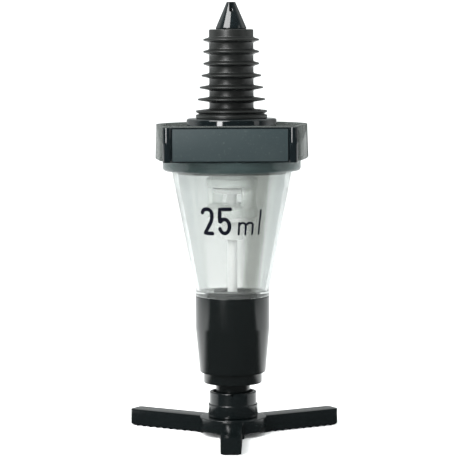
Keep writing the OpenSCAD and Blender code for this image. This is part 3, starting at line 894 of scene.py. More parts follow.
def bevel(piece: bpy.types.Object, width: float, segments: int = 3, angle: float = 40.0) -> None:
    """Rounds the piece's sharp edges.

    Args:
        piece: Piece in millimetres.
        width: Width of the round.
        segments: Faces across it.
        angle: Edges sharper than this, in degrees, are rounded.
    """
    modifier = piece.modifiers.new("soften", "BEVEL")
    modifier.width = width
    modifier.segments = segments
    modifier.limit_method = "ANGLE"
    modifier.angle_limit = math.radians(angle)
    modifier.harden_normals = False
    apply_modifiers(piece)


def put(piece: bpy.types.Object, place: Matrix) -> bpy.types.Object:
    """Moves a piece's mesh and turns its faces outwards.

    Args:
        piece: Piece to move.
        place: Where it goes.

    Returns:
        The piece.
    """
    piece.data.transform(place)
    weld(piece)
    return piece


def copy_turned(piece: bpy.types.Object, name: str, degrees: float) -> bpy.types.Object:
    """Copies a piece, with its own mesh, and turns the copy round the axis.

    Args:
        piece: Piece to copy.
        name: Name of the copy.
        degrees: Turn round the axis.

    Returns:
        The copy.
    """
    copy = piece.copy()
    copy.data = piece.data.copy()
    copy.name = name
    bpy.context.collection.objects.link(copy)
    copy.data.transform(around(degrees))
    return copy


def all_round(pieces: Sequence[bpy.types.Object], count: int) -> List[bpy.types.Object]:
    """Repeats pieces evenly round the axis.

    Args:
        pieces: The pieces at the first place.
        count: Number of places.

    Returns:
        The pieces and their copies, place by place.
    """
    return list(pieces) + [
        copy_turned(piece, f"{piece.name}_{i}", 360.0 * i / count)
        for i in range(1, count)
        for piece in pieces
    ]


def join(pieces: Sequence[bpy.types.Object]) -> bpy.types.Object:
    """Joins pieces into one.

    Args:
        pieces: Pieces to join.

    Returns:
        The first piece's object, which holds them all.
    """
    clear_selection()
    for piece in pieces:
        piece.select_set(True)
    bpy.context.view_layer.objects.active = pieces[0]
    bpy.ops.object.join()
    return pieces[0]


def to_metres(piece: bpy.types.Object) -> None:
    """Brings a finished mesh to metres and sets its shading.

    Args:
        piece: Piece in millimetres.
    """
    edit(piece)
    bpy.ops.transform.resize(value=(MM, MM, MM), center_override=(0.0, 0.0, 0.0))
    clear_selection()
    work_on(piece)
    bpy.ops.object.shade_smooth_by_angle(angle=SMOOTH_UNDER)


def settle(
    piece: bpy.types.Object,
    finish: Finish,
    body: Body,
    stands_for: Sequence[str] = (),
) -> bpy.types.Object:
    """Finishes a piece: metres, material, the body it rides on and what it replaces.

    Args:
        piece: Piece in millimetres.
        finish: Its finish.
        body: CAD body that it moves with.
        stands_for: CAD nodes that it is shown for.

    Returns:
        The piece.
    """
    to_metres(piece)
    piece.data.materials.clear()
    piece.data.materials.append(finish.material())
    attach(piece, body.value)
    if stands_for:
        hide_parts(*stands_for)
    LOG.info("%s: %d faces, rides on %s", piece.name, len(piece.data.polygons), body.value)
    return piece


def turned(
    node: str,
    corners: Sequence[Corner],
    finish: Finish,
    body: Body,
    chords: int = 4,
    name: str = "",
    steps: int = SPIN_STEPS,
) -> None:
    """Models and settles a round piece that is shown for a CAD node.

    Args:
        node: CAD node that it is shown for.
        corners: Half section, with a radius where a corner is round.
        finish: Its finish.
        body: CAD body that it moves with.
        chords: Chords of each round corner.
        name: Name of the piece, where it isn't named for the node.
        steps: Number of steps round the axis.
    """
    piece = spun(name or f"{node}_form", ease(corners, chords), steps)
    settle(piece, finish, body, [node])


def dress_node(node: str, finish: Finish) -> None:
    """Gives a CAD node that stays visible its finish.

    Args:
        node: Name of the node.
        finish: Its finish.
    """
    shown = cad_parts[node]
    shown.data.materials.clear()
    shown.data.materials.append(finish.material())
    LOG.info("%s: CAD node in %s", node, finish.name)


# --------------------------------------------------------------------------
# Cork and nozzle
# --------------------------------------------------------------------------


@dataclass
class Nozzle:
    """Pointed inlet with three slots in its tip, plugged into the inlet tube."""

    stub_r: float = 3.57
    bore_r: float = 2.27
    stub_z: float = 138.5
    base_z: float = 142.5
    base_r: float = 5.6
    tip_r: float = 1.5
    top_z: float = 152.0
    shoulder: float = 1.0
    solid: float = 1.5
    slot_count: int = 3
    slot_w: float = 1.25
    slot_z: float = 148.5
    edge: float = 0.12

    def build(self) -> None:
        """Models and dresses the nozzle."""
        body = spun("nozzle_form", self.outline())
        combine(body, all_round([self.cutter("nozzle_slot")], self.slot_count), "DIFFERENCE")
        bevel(body, self.edge, 2)
        settle(body, GLOSS_BLACK, Body.MEASURE, ["nozzle_tip"])

    def outline(self) -> List[Flat]:
        """Half section of the nozzle, with its cavity.

        Returns:
            Radius and height of each point.
        """
        return ease([
            (0.0, self.top_z - self.solid),
            (self.bore_r, self.base_z + self.shoulder, SOFT),
            (self.bore_r, self.stub_z),
            (self.stub_r, self.stub_z),
            (self.stub_r, self.base_z),
            (self.base_r, self.base_z, BLUNT),
            (self.tip_r, self.top_z, EASED),
            (0.0, self.top_z),
        ])

    def cutter(self, name: str) -> bpy.types.Object:
        """The front slot's cutter, round at its lower end.

        Args:
            name: Name of the cutter.

        Returns:
            The cutter, in place.
        """
        half = self.slot_w / 2.0
        above = self.top_z + PAST
        side = arc((0.0, self.slot_z + half), half, 180.0, 360.0, 10)
        block = prism(name, side + [(half, above), (-half, above)], half, self.base_r + PAST)
        return put(block, around(90.0, "X"))


@dataclass
class Cork:
    """Rubber bung whose fins seal in the bottle's neck."""

    bore: float = 5.23
    tube_r: float = 7.75
    base_z: float = 111.5
    top_z: float = 142.5
    base_h: float = 1.3
    fin_r: float = 9.75
    fin_count: int = 7
    fin_equal: int = 3
    fin_grow: float = 0.68
    fin_pitch: float = 4.14
    fin_first: float = 2.5
    fin_rim: float = 0.6
    fin_root: float = 1.8
    notch_in: float = 1.5
    rim_round: float = 0.28
    root_round: float = 0.55
    pip_r: float = 0.55
    pip_taper: float = 0.8
    pip_levels: Tuple[float, float, float] = (-0.3, 0.45, 0.55)
    pip_steps: int = 24
    pip_at: Tuple[float, float, float] = (9.8, -4.6, 114.3)

    def build(self) -> None:
        """Models and dresses the cork with the pip that its mould leaves."""
        body = spun("cork_form", self.outline())
        low, side, top = self.pip_levels
        head = (self.pip_r * self.pip_taper, side, NEAT)
        pip = spun(
            "cork_pip", ease([(0.0, low), (self.pip_r, low), head, (0.0, top)]), self.pip_steps
        )
        pip.data.transform(Matrix.Translation(self.pip_at))
        whole = join([body, pip])
        settle(whole, CORK_RUBBER, Body.MEASURE, ["cork"])

    def radius(self, fin: int) -> float:
        """Radius of a fin, counted from the top."""
        return self.fin_r + max(0, fin - self.fin_equal + 1) * self.fin_grow

    def level(self, fin: int) -> float:
        """Level of a fin, counted from the top."""
        return self.base_z + self.fin_first + (self.fin_count - 1 - fin) * self.fin_pitch

    def outline(self) -> List[Flat]:
        """Half section, from the bore's lower end round the fins to its upper end.

        Returns:
            Radius and height of each point.
        """
        lowest = self.fin_count - 1
        base_r = self.radius(lowest)
        corners: List[Corner] = [
            (self.bore, self.base_z),
            (base_r, self.base_z, EASED),
            (base_r, self.base_z + self.base_h, EASED),
        ]
        for fin in range(lowest, -1, -1):
            radius, level = self.radius(fin), self.level(fin)
            root = radius - self.notch_in if fin == lowest else self.tube_r
            corners += [
                (root, level - self.fin_root / 2.0, self.root_round),
                (radius, level - self.fin_rim / 2.0, self.rim_round),
                (radius, level + self.fin_rim / 2.0, self.rim_round),
                (self.tube_r, level + self.fin_root / 2.0, self.root_round),
            ]
        corners += [(self.tube_r, self.top_z, BLUNT), (self.bore, self.top_z)]
        return ease(corners)


# --------------------------------------------------------------------------
# Head
# --------------------------------------------------------------------------


@dataclass
class Head:
    """Neck cap, smoke shell, fascia, skirt ring and the core inside them."""

    cap_r: float = 15.75
    cap_z: float = 99.4
    cap_top: float = 111.5
    cap_plate_z: float = 109.9
    cap_bore: float = 12.03
    cap_round: float = 0.7
    tube_bore: float = 5.23
    shell_r: float = 26.9
    shell_front: float = 22.9
    shell_side: float = 23.9
    shell_z: float = 97.8
    shell_top: float = 109.6
    shell_wall: float = 1.6
    shell_draft: float = 0.986
    shell_back: Tuple[float, float] = (4.0, 176.0)
    shell_meet: float = -2.5
    shell_meet_round: float = 3.0
    shell_front_round: float = 0.8
    fascia_half: float = 23.05
    fascia_back: float = 22.9
    fascia_front: float = 25.0
    fascia_z: float = 97.2
    fascia_top: float = 109.2
    fascia_edge: float = 0.22
    column_w: float = 3.4
    panel_gap: float = 0.05
    panel_sunk: float = 0.02
    panel_back: float = 24.3
    panel_front: float = 24.8
    panel_z: float = 97.73
    panel_top: float = 108.67
    panel_edge: float = 0.12
    skirt_r: float = 24.18
    skirt_step: float = 22.93
    skirt_bore: float = 21.45
    skirt_z: float = 93.3
    skirt_shelf: float = 95.0
    skirt_round: float = 1.2
    core_r: float = 19.07
    core_z: float = 92.5
    seal_r: float = 0.7
    bore_r: float = 6.9
    boss_r: float = 8.0
    boss_z: float = 87.6
    boss_lead: float = 0.4
    boss_lip: float = 0.35
    boss_gap: float = 0.01

    def build(self) -> None:
        """Models and dresses the head."""
        self.neck_cap()
        self.shell()
        self.fascia()
        self.panel()
        self.skirt()
        self.core()
        dress_node("core_neck", MATTE_BLACK)
        dress_node("core_seal", SEAL_RUBBER)
        dress_node("inlet_tube", WHITE_MOULDED)

    def neck_cap(self) -> None:
        """Glossy cap that clamps the cork."""
        corners = [
            (self.cap_bore, self.cap_z),
            (self.cap_r, self.cap_z, SOFT),
            (self.cap_r, self.cap_top, self.cap_round),
            (self.tube_bore, self.cap_top),
            (self.tube_bore, self.cap_plate_z),
            (self.cap_bore, self.cap_plate_z),
        ]
        turned("neck_cap", corners, GLOSS_BLACK, Body.MEASURE)

    def plan(self, inset: float) -> List[Flat]:
        """Plan of the shell: round at the back, its sides drawn in to the front.

        The side's eased corner stands a little inside the round, so that the
        outline has a nick where the two meet.

        Args:
            inset: Distance of the outline from the shell's outside.

        Returns:
            The plan's points.
        """
        back = arc((0.0, 0.0), self.shell_r - inset, *self.shell_back, 56)
        meet = (self.shell_meet, self.shell_meet_round)
        side, depth = self.shell_side - inset, -self.shell_front + inset
        front = ease([
            (-self.shell_r + inset, *meet),
            (-side, depth, self.shell_front_round),
            (side, depth, self.shell_front_round),
            (self.shell_r - inset, *meet),
        ])
        return back + front[1:-1]

    def shell(self) -> None:
        """Smoke shell: a tray with a hole for the core's neck."""
        low, high, wall = self.shell_z, self.shell_top, self.shell_wall
        shell = prism("head_shell_form", self.plan(0.0), low, high, self.shell_draft)
        pocket = prism("shell_pocket", self.plan(wall), low + wall, high + PAST, self.shell_draft)
        hole = rod("shell_hole", self.cap_bore, low - PAST, high)
        combine(shell, [pocket, hole], "DIFFERENCE")
        bevel(shell, EASED, 3, 50.0)
        settle(shell, SMOKE, Body.MEASURE, ["head_shell"])

    def fascia(self) -> None:
        """Gloss frame with a round column at each end of the name panel."""
        half, r = self.fascia_half, self.column_w / 2.0
        middle = (half - r, r - self.fascia_front)
        start = math.degrees(math.asin((self.panel_back + middle[1]) / r))
        column = arc(middle, r, 180.0 + start, 360.0, 14)
        right = [(half - 2.0 * r, -self.panel_back)] + column + [(half, -self.fascia_back)]
        left = [(-x, y) for x, y in reversed(right)]
        body = prism("fascia_form", left + right, self.fascia_z, self.fascia_top)
        relief = rod("fascia_relief", self.skirt_r + SLIDE, self.fascia_z - PAST, self.shell_z)
        combine(body, [relief], "DIFFERENCE")
        bevel(body, self.fascia_edge, 2, 50.0)
        settle(body, GLOSS_BLACK, Body.MEASURE, ["fascia"])

    def panel(self) -> None:
        """Bare satin name panel between the columns."""
        half = self.fascia_half - self.column_w - self.panel_gap
        front, back = -self.panel_front, -self.panel_back - self.panel_sunk
        plan = [(-half, front), (half, front), (half, back), (-half, back)]
        plate = prism("name_panel_form", plan, self.panel_z, self.panel_top)
        bevel(plate, self.panel_edge, 2)
        settle(plate, PANEL_SATIN, Body.MEASURE, ["fascia_panel"])

    def skirt(self) -> None:
        """Smoke ring that clamps the chamber's flange."""
        corners = [
            (self.skirt_bore, self.skirt_z, CRISP),
            (self.skirt_r, self.skirt_z, self.skirt_round),
            (self.skirt_r, self.shell_z),
            (self.skirt_step, self.shell_z),
            (self.skirt_step, self.skirt_shelf),
            (self.skirt_bore, self.skirt_shelf),
        ]
        turned("skirt_ring", corners, SKIRT_SMOKE, Body.MEASURE, 6)

    def core(self) -> None:
        """Black core plate with its clear inlet boss."""
        seal_z = (self.core_z + self.shell_z) / 2.0
        low, high = seal_z - self.seal_r, seal_z + self.seal_r
        seat = self.core_r - 2.0 * self.seal_r
        plate = [
            (self.bore_r, self.core_z),
            (self.core_r, self.core_z, NEAT),
            (self.core_r, low),
            (seat, low),
            (seat, high),
            (self.core_r, high),
            (self.core_r, self.shell_z),
            (self.bore_r, self.shell_z),
        ]
        joint = self.core_z - self.boss_gap
        boss = [
            (self.bore_r, self.boss_z + self.boss_lead, SOFT),
            (self.bore_r + self.boss_lip, self.boss_z, CRISP),
            (self.boss_r, self.boss_z, FINE),
            (self.boss_r, joint),
            (self.bore_r, joint),
        ]
        for name, corners, finish in (
            ("core_plate_form", plate, MATTE_BLACK),
            ("inlet_boss_form", boss, BOSS_CLEAR),
        ):
            turned("head_core", corners, finish, Body.MEASURE, name=name)


# --------------------------------------------------------------------------
# Chamber and its print
# --------------------------------------------------------------------------


@dataclass
class Chamber:
    """Clear conical chamber with its foot, floor, spigot and flange."""

    spigot_bore: float = 9.15
    spigot_r: float = 11.75
    spigot_z: float = 42.5
    foot_r: float = 13.10
    foot_z: float = 49.3
    foot_top: float = 52.0
    floor_z: float = 48.4
    floor_top: float = 51.0
    floor_bore: float = 6.63
    wall: float = 1.4
    cone_top_r: float = 21.1
    cone_h: float = 41.3
    shelf_z: float = 95.0
    rim_r: float = 22.9
    rim_z: float = 97.8
    mouth_r: float = 19.1
    mouth_z: float = 92.5
    boss_z: float = 87.6
    inside_rounds: Tuple[float, float, float] = (2.0, 1.0, 0.9)

    def radius(self, level: float) -> float:
        """Outer radius of the cone at a level."""
        share = (level - self.foot_top) / self.cone_h
        return self.foot_r + (self.cone_top_r - self.foot_r) * share

    def build(self) -> None:
        """Models and dresses the chamber."""
        bore = self.foot_r - self.wall
        neck_round, foot_round, floor_round = self.inside_rounds
        corners = [
            (self.spigot_bore, self.spigot_z),
            (self.spigot_r, self.spigot_z, FINE),
            (self.spigot_r, self.foot_z, CRISP),
            (self.foot_r, self.foot_z, NEAT),
            (self.foot_r, self.foot_top, FULL),
            (self.cone_top_r, self.foot_top + self.cone_h),
            (self.cone_top_r, self.shelf_z, SOFT),
            (self.rim_r, self.shelf_z, FINE),
            (self.rim_r, self.rim_z),
            (self.mouth_r, self.rim_z),
            (self.mouth_r, self.mouth_z, FULL),
            (self.radius(self.boss_z) - self.wall, self.boss_z, neck_round),
            (bore, self.foot_top, foot_round),
            (bore, self.floor_top, floor_round),
            (self.floor_bore, self.floor_top, NEAT),
            (self.floor_bore, self.floor_z),
            (self.spigot_bore, self.floor_z, SOFT),
        ]
        turned("chamber", corners, CHAMBER_CLEAR, Body.MEASURE, 5)


Stroke = List[Flat]


@dataclass
class CapacityMark:
    """The printed capacity, 25 ml, on the front of the cone."""

    chamber: Chamber
    base_z: float = 72.5
    height: float = 8.5
    small_base_z: float = 72.25
    small_height: float = 3.95
    tall_height: float = 8.2
    digit_w: float = 3.7
    small_w: float = 5.15
    ink_w: float = 1.32
    small_ink_w: float = 0.76
    ink_t: float = 0.05
    lift: float = 0.03
    two_at: float = -10.2
    five_at: float = -4.0
    m_at: float = 2.72
    l_at: float = 10.4

    def build(self) -> None:
        """Draws the strokes, lays them on the cone and dresses them."""
        parts = [
            self.ribbon(f"stroke_{i}", stroke, width)
            for i, (stroke, width) in enumerate(self.strokes())
        ]
        mark = join(parts)
        mark.name = "capacity_mark"
        mark.data.name = "capacity_mark"
        self.wrap(mark)
        weld(mark)
        settle(mark, INK, Body.MEASURE)

    def bow(
        self, centre: Flat, half_w: float, half_h: float, start: float, end: float
    ) -> List[Flat]:
        """A bow of a letter, part of an ellipse, in unit places."""
        turns = arc((0.0, 0.0), 1.0, start, end, 14)
        return [(centre[0] + half_w * u, centre[1] + half_h * v) for u, v in turns]

    def strokes(self) -> List[Tuple[Stroke, float]]:
        """Draws the digits and the unit in unit places and lays them out.

        Returns:
            Each stroke's path in millimetres, and its width.
        """
        two = self.bow((0.5, 0.81), 0.48, 0.19, 168.0, -12.0) + [
            (0.96, 0.64), (0.84, 0.48), (0.62, 0.33), (0.3, 0.13), (0.06, 0.0), (0.9, 0.0)
        ]
        five = [(1.02, 1.0), (0.08, 1.0), (0.02, 0.5)] + self.bow(
            (0.46, 0.3), 0.48, 0.29, 140.0, -158.0
        )
        stem = [(0.02, 1.0), (0.0, 0.0)]
        first = [(0.03, 0.78)] + self.bow((0.26, 0.76), 0.22, 0.24, 150.0, 0.0) + [(0.48, 0.0)]
        second = [(0.5, 0.78)] + self.bow((0.76, 0.76), 0.23, 0.24, 155.0, 0.0) + [(0.98, 0.0)]
        tall = [(0.0, 0.0), (0.0, 1.0)]
        digit = (self.base_z, self.digit_w, self.height, self.ink_w)
        small = (self.small_base_z, self.small_w, self.small_height, self.small_ink_w)
        high = (self.small_base_z, self.small_w, self.tall_height, self.small_ink_w)
        laid = (
            (self.two_at, digit, two),
            (self.five_at, digit, five),
            (self.m_at, small, stem),
            (self.m_at, small, first),
            (self.m_at, small, second),
            (self.l_at, high, tall),
        )
        return [
            ([(at + u * width, base + v * height) for u, v in path], ink)
            for at, (base, width, height, ink), path in laid
        ]

    def ribbon(self, name: str, stroke: Stroke, width: float) -> bpy.types.Object:
        """A flat stroke with round ends, in the plane of the front.

        Args:
            name: Name of the stroke.
            stroke: Its path in millimetres.
            width: Its width.

        Returns:
            The stroke, in object mode.
        """
        line = chain(name, [(u, 0.0, v) for u, v in stroke], False)
        bpy.ops.mesh.subdivide(number_cuts=3)
        clear_selection()
        work_on(line)
        bpy.ops.object.convert(target="CURVE")
        line = bpy.context.object
        line.data.bevel_depth = width / 2.0
        line.data.bevel_resolution = 4
        line.data.use_fill_caps = True
        bpy.ops.object.convert(target="MESH")
        line = bpy.context.object
        half = width / 2.0
        ball = [(0.0, -half)] + arc((0.0, 0.0), half, -80.0, 80.0, 8) + [(0.0, half)]
        ends = []
        for i, (u, v) in enumerate((stroke[0], stroke[-1])):
            dot = spun(f"{name}_end_{i}", ball, 24)
            dot.data.transform(Matrix.Translation((u, 0.0, v)))
            ends.append(dot)
        whole = join([line] + ends)
        edit(whole)
        bpy.ops.transform.resize(
            value=(1.0, self.ink_t / width, 1.0), center_override=(0.0, 0.0, 0.0)
        )
        clear_selection()
        return whole

    def wrap(self, mark: bpy.types.Object) -> None:
        """Lays the flat print on the cone, a little proud of its surface.

        Args:
            mark: The print, in the plane of the front.
        """
        for vertex in mark.data.vertices:
            across, depth, level = vertex.co
            radius = self.chamber.radius(level) + self.lift - depth
            turn = across / self.chamber.radius(self.base_z + self.height / 2.0)
            vertex.co = (radius * math.sin(turn), -radius * math.cos(turn), level)


# --------------------------------------------------------------------------
# Valve
# --------------------------------------------------------------------------


@dataclass
class Valve:
    """Cage, bushes, plugs and stem inside the chamber."""

    ring_bore: float = 8.03
    cage_r: float = 9.13
    ring_z: float = 87.6
    ring_top: float = 90.2
    leg_in: float = 7.5
    leg_z: float = 78.8
    leg_rise: float = 1.3
    leg_angle: float = 42.0
    leg_inset: float = 0.06
    dome_z: float = 77.0
    dome_top: float = 81.0
    dome_wall: float = 1.3
    dome_round: float = 2.5
    dome_inside: float = 1.0
    sleeve_r: float = 2.9
    nose_r: float = 3.9
    nose_z: float = 69.0
    flange_r: float = 8.23
    flange_z: float = 75.4
    stem_bore: float = 1.75
    stem_r: float = 1.7
    stem_z: float = 25.7
    stem_top: float = 88.3
    groove: float = 0.3
    clip_h: float = 0.6
    clip_levels: Tuple[float, ...] = (26.9, 44.0, 87.1)
    plug_r: float = 6.6
    plug_z: float = 85.0
    plug_top: float = 87.1
    outlet_r: float = 4.7
    outlet_z: float = 44.6
    outlet_top: float = 49.6
    seat_depth: float = 0.75
    seat_half: float = 0.5
    seal_cord: float = 0.47
    seal_centre: float = 6.38
    outlet_seal_z: float = 46.27
    outlet_seal_centre: float = 4.48
    bush_r: float = 6.6
    bush_bore: float = 5.0
    bush_z: float = 43.9
    bush_top: float = 51.3
    bush_flange_r: float = 8.8
    bush_flange_z: float = 46.4
    bush_gasket_z: float = 47.9

    def build(self) -> None:
        """Models and dresses the valve."""
        middle = (self.plug_z + self.plug_top) / 2.0
        self.cage()
        self.cage_bush()
        self.plug("inlet_plug", self.plug_r, self.plug_z, self.plug_top, middle)
        self.plug("outlet_plug", self.outlet_r, self.outlet_z, self.outlet_top, self.outlet_seal_z)
        self.seal("inlet_plug_seal", self.seal_centre, middle, PALE_SILICONE)
        self.seal("outlet_plug_seal", self.outlet_seal_centre, self.outlet_seal_z, SEAL_RUBBER)
        self.stem()
        self.outlet_bush()
        dress_node("outlet_gasket", BUSH_RUBBER)
        dress_node("stem_clips", STEEL)
        dress_node("stem_spider", WHITE_MOULDED)

    def cage(self) -> None:
        """Clear cage: a ring on the boss, two legs and a dome."""
        ring = spun("valve_cage_form", ease([
            (self.ring_bore, self.ring_z),
            (self.cage_r, self.ring_z, NEAT),
            (self.cage_r, self.ring_top, NEAT),
            (self.ring_bore, self.ring_top),
        ]))
        outer, inner = self.cage_r - self.leg_inset, self.ring_bore + self.leg_inset
        section = [
            (self.leg_in, self.leg_z),
            (outer, self.leg_z),
            (outer, self.ring_z + self.leg_rise),
            (inner, self.ring_z + self.leg_rise),
            (inner, self.ring_z),
            (self.leg_in, self.ring_z),
        ]
        leg = spun("cage_leg", section, 16, math.radians(self.leg_angle))
        other = copy_turned(leg, "cage_leg_2", 180.0 - self.leg_angle / 2.0)
        leg.data.transform(around(-self.leg_angle / 2.0))
        bore, skin = self.sleeve_r + SLIDE, self.cage_r - self.dome_wall
        dome = spun("cage_dome", ease([
            (bore, self.dome_top - self.dome_wall),
            (skin, self.dome_top - self.dome_wall, self.dome_inside),
            (skin, self.dome_z),
            (self.cage_r, self.dome_z, FINE),
            (self.cage_r, self.dome_top, self.dome_round),
            (bore, self.dome_top),
        ], 7))
        combine(ring, [leg, other, dome], "UNION")
        settle(ring, CAGE_CLEAR, Body.MEASURE, ["valve_cage"])

    def cage_bush(self) -> None:
        """White bush that guides the stem under the dome."""
        corners = [
            (self.stem_bore, self.nose_z, FINE),
            (self.nose_r, self.nose_z, BLUNT),
            (self.nose_r, self.flange_z, BLUNT),
            (self.flange_r, self.flange_z, SOFT),
            (self.flange_r, self.dome_z, FINE),
            (self.sleeve_r, self.dome_z),
            (self.sleeve_r, self.dome_top, FINE),
            (self.stem_bore, self.dome_top),
        ]
        turned("cage_bush", corners, WHITE_MOULDED, Body.MEASURE)

    def plug(self, node: str, radius: float, low: float, high: float, level: float) -> None:
        """A white plug on the stem, with the groove for its seal.

        Args:
            node: CAD node that it is shown for.
            radius: Its outer radius.
            low: Level of its underside.
            high: Level of its top.
            level: Middle of the seal's groove.
        """
        bore, seat = self.stem_r + SLIDE, radius - self.seat_depth
        corners = [
            (bore, low),
            (radius, low, FINE),
            (radius, level - self.seat_half),
            (seat, level - self.seat_half),
            (seat, level + self.seat_half),
            (radius, level + self.seat_half),
            (radius, high, FINE),
            (bore, high),
        ]
        turned(node, corners, WHITE_MOULDED, Body.PLUNGER)

    def seal(self, node: str, centre: float, level: float, finish: Finish) -> None:
        """The seal ring of a plug."""
        ring = spun(f"{node}_form", circle((centre, level), self.seal_cord, 24))
        settle(ring, finish, Body.PLUNGER, [node])

    def stem(self) -> None:
        """White stem with a groove for each clip."""
        corners: List[Corner] = [(0.0, self.stem_z), (self.stem_r, self.stem_z, SOFT)]
        for level in self.clip_levels:
            corners += [
                (self.stem_r, level),
                (self.stem_r - self.groove, level),
                (self.stem_r - self.groove, level + self.clip_h),
                (self.stem_r, level + self.clip_h),
            ]
        corners += [(self.stem_r, self.stem_top, SOFT), (0.0, self.stem_top)]
        turned("stem", corners, WHITE_MOULDED, Body.PLUNGER, steps=48)

    def outlet_bush(self) -> None:
        """Black bush in the chamber's floor."""
        corners = [
            (self.bush_bore, self.bush_z),
            (self.bush_r, self.bush_z, FINE),
            (self.bush_r, self.bush_flange_z),
            (self.bush_flange_r, self.bush_flange_z, FINE),
            (self.bush_flange_r, self.bush_gasket_z),
            (self.bush_r, self.bush_gasket_z),
            (self.bush_r, self.bush_top, SOFT),
            (self.bush_bore, self.bush_top, FULL),
        ]
        turned("outlet_bush", corners, BUSH_RUBBER, Body.MEASURE)


# --------------------------------------------------------------------------
# Barrel, spring and plunger
# --------------------------------------------------------------------------


@dataclass
class Barrel:
    """Barrel, the neck ring in its lower end and the spring inside."""

    bore: float = 10.33
    low_z: float = 22.2
    low_r: float = 11.6
    edge: float = 0.8
    taper_z: float = 38.0
    taper_round: float = 6.0
    top_r: float = 13.05
    top_z: float = 49.3
    seat_r: float = 11.78
    seat_z: float = 42.5
    seat_slope: float = 2.0
    neck_bore: float = 9.1
    neck_r: float = 10.3
    neck_z: float = 18.5
    neck_round: float = 0.45
    guide_z: float = 24.2
    guide_r: float = 6.1
    guide_top: float = 28.8
    wire_r: float = 0.45
    spring_r: float = 7.6
    spring_low: float = 31.05
    spring_high: float = 45.85
    spring_fixed: float = 46.3
    spring_rest: float = 30.6
    curls: int = 6
    curl_steps: int = 36
    stroke: float = 8.5

    def build(self) -> None:
        """Models and dresses the barrel, ring and spring."""
        barrel = [
            (self.bore, self.low_z, FINE),
            (self.low_r, self.low_z, self.edge),
            (self.top_r, self.taper_z, self.taper_round),
            (self.top_r, self.top_z, FINE),
            (self.seat_r, self.top_z),
            (self.seat_r, self.seat_z),
            (self.bore, self.seat_z - self.seat_slope),
        ]
        turned("barrel", barrel, SATIN_BLACK, Body.MEASURE, 6)
        ring = [
            (self.neck_bore, self.neck_z, FINE),
            (self.neck_r, self.neck_z, self.neck_round),
            (self.neck_r, self.guide_top, FINE),
            (self.guide_r, self.guide_top),
            (self.guide_r, self.guide_z),
            (self.neck_bore, self.guide_z),
        ]
        turned("neck_ring", ring, SATIN_BLACK, Body.MEASURE)
        self.spring()

    def spring(self) -> None:
        """Return spring: one wire, wound by a screw modifier."""
        section = circle((self.spring_r, self.spring_low), self.wire_r, 12)
        wire = chain("return_spring_form", [(r, 0.0, z) for r, z in section], True)
        clear_selection()
        screw = wire.modifiers.new("wind", "SCREW")
        screw.axis = "Z"
        screw.angle = TAU
        screw.screw_offset = (self.spring_high - self.spring_low) / self.curls
        screw.iterations = self.curls
        screw.steps = self.curl_steps
        screw.render_steps = self.curl_steps
        screw.use_merge_vertices = True
        apply_modifiers(wire)
        edit(wire)
        bpy.ops.mesh.select_all(action="DESELECT")
        bpy.ops.mesh.select_non_manifold()
        bpy.ops.mesh.edge_face_add()
        weld(wire)
        settle(wire, STEEL, Body.MEASURE, ["return_spring"])
        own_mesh(wire)


@dataclass
class Plunger:
    """Spout tube and the drip collar on it."""

    bore: float = 4.9
    upper_bore: float = 4.6
    tube_r: float = 6.05
    groove_r: float = 5.65
    groove_z: float = 0.5
    groove_top: float = 1.3
    step_z: float = 24.0
    spider_r: float = 5.3
    spider_z: float = 27.5
    flange_r: float = 8.6
    flange_z: float = 28.9
    top_z: float = 30.5
    collar_z: float = 6.5
    collar_r: float = 8.75
    cup_z: float = 11.0
    cup_r: float = 8.25
    cup_bore: float = 7.1
    cup_floor: float = 12.0
    cup_top: float = 15.4
    notch_w: float = 2.2
    notch_h: float = 1.2
    notch_up: float = 0.6

    def build(self) -> None:
        """Models and dresses the tube and the collar."""
        corners = [
            (self.bore, 0.0, NEAT),
            (self.tube_r, 0.0, NEAT),
            (self.tube_r, self.groove_z),
            (self.groove_r, self.groove_z),
            (self.groove_r, self.groove_top),
            (self.tube_r, self.groove_top),
            (self.tube_r, self.flange_z, SOFT),
            (self.flange_r, self.flange_z, FINE),
            (self.flange_r, self.top_z, FINE),
            (self.spider_r, self.top_z),
            (self.spider_r, self.spider_z),
            (self.upper_bore, self.spider_z),
            (self.upper_bore, self.step_z),
            (self.bore, self.step_z),
        ]
        turned("spout_tube", corners, SATIN_BLACK, Body.PLUNGER)
        self.collar()
        dress_node("arm_clip", STEEL)

    def collar(self) -> None:
        """Two-step collar with a small notch in the front of its rim."""
        seat = self.tube_r + SLIDE
        collar = spun("drip_collar_form", ease([
            (seat, self.collar_z),
            (self.collar_r, self.collar_z, SOFT),
            (self.collar_r, self.cup_z, EASED),
            (self.cup_r, self.cup_z, CRISP),
            (self.cup_r, self.cup_top, SOFT),
            (self.cup_bore, self.cup_top, NEAT),
            (self.cup_bore, self.cup_floor, BLUNT),
            (seat, self.cup_floor),
        ]))
        half, up = self.notch_w / 2.0, self.notch_up
        plan = [(-half, up), (0.0, -self.notch_h), (half, up)]
        notch = prism("collar_notch", plan, 0.0, self.collar_r + PAST)
        notch.data.transform(Matrix.Translation((0.0, 0.0, self.cup_top)) @ around(90.0, "X"))
        combine(collar, [notch], "DIFFERENCE")
        settle(collar, ARM_BLACK, Body.PLUNGER, ["drip_collar"])


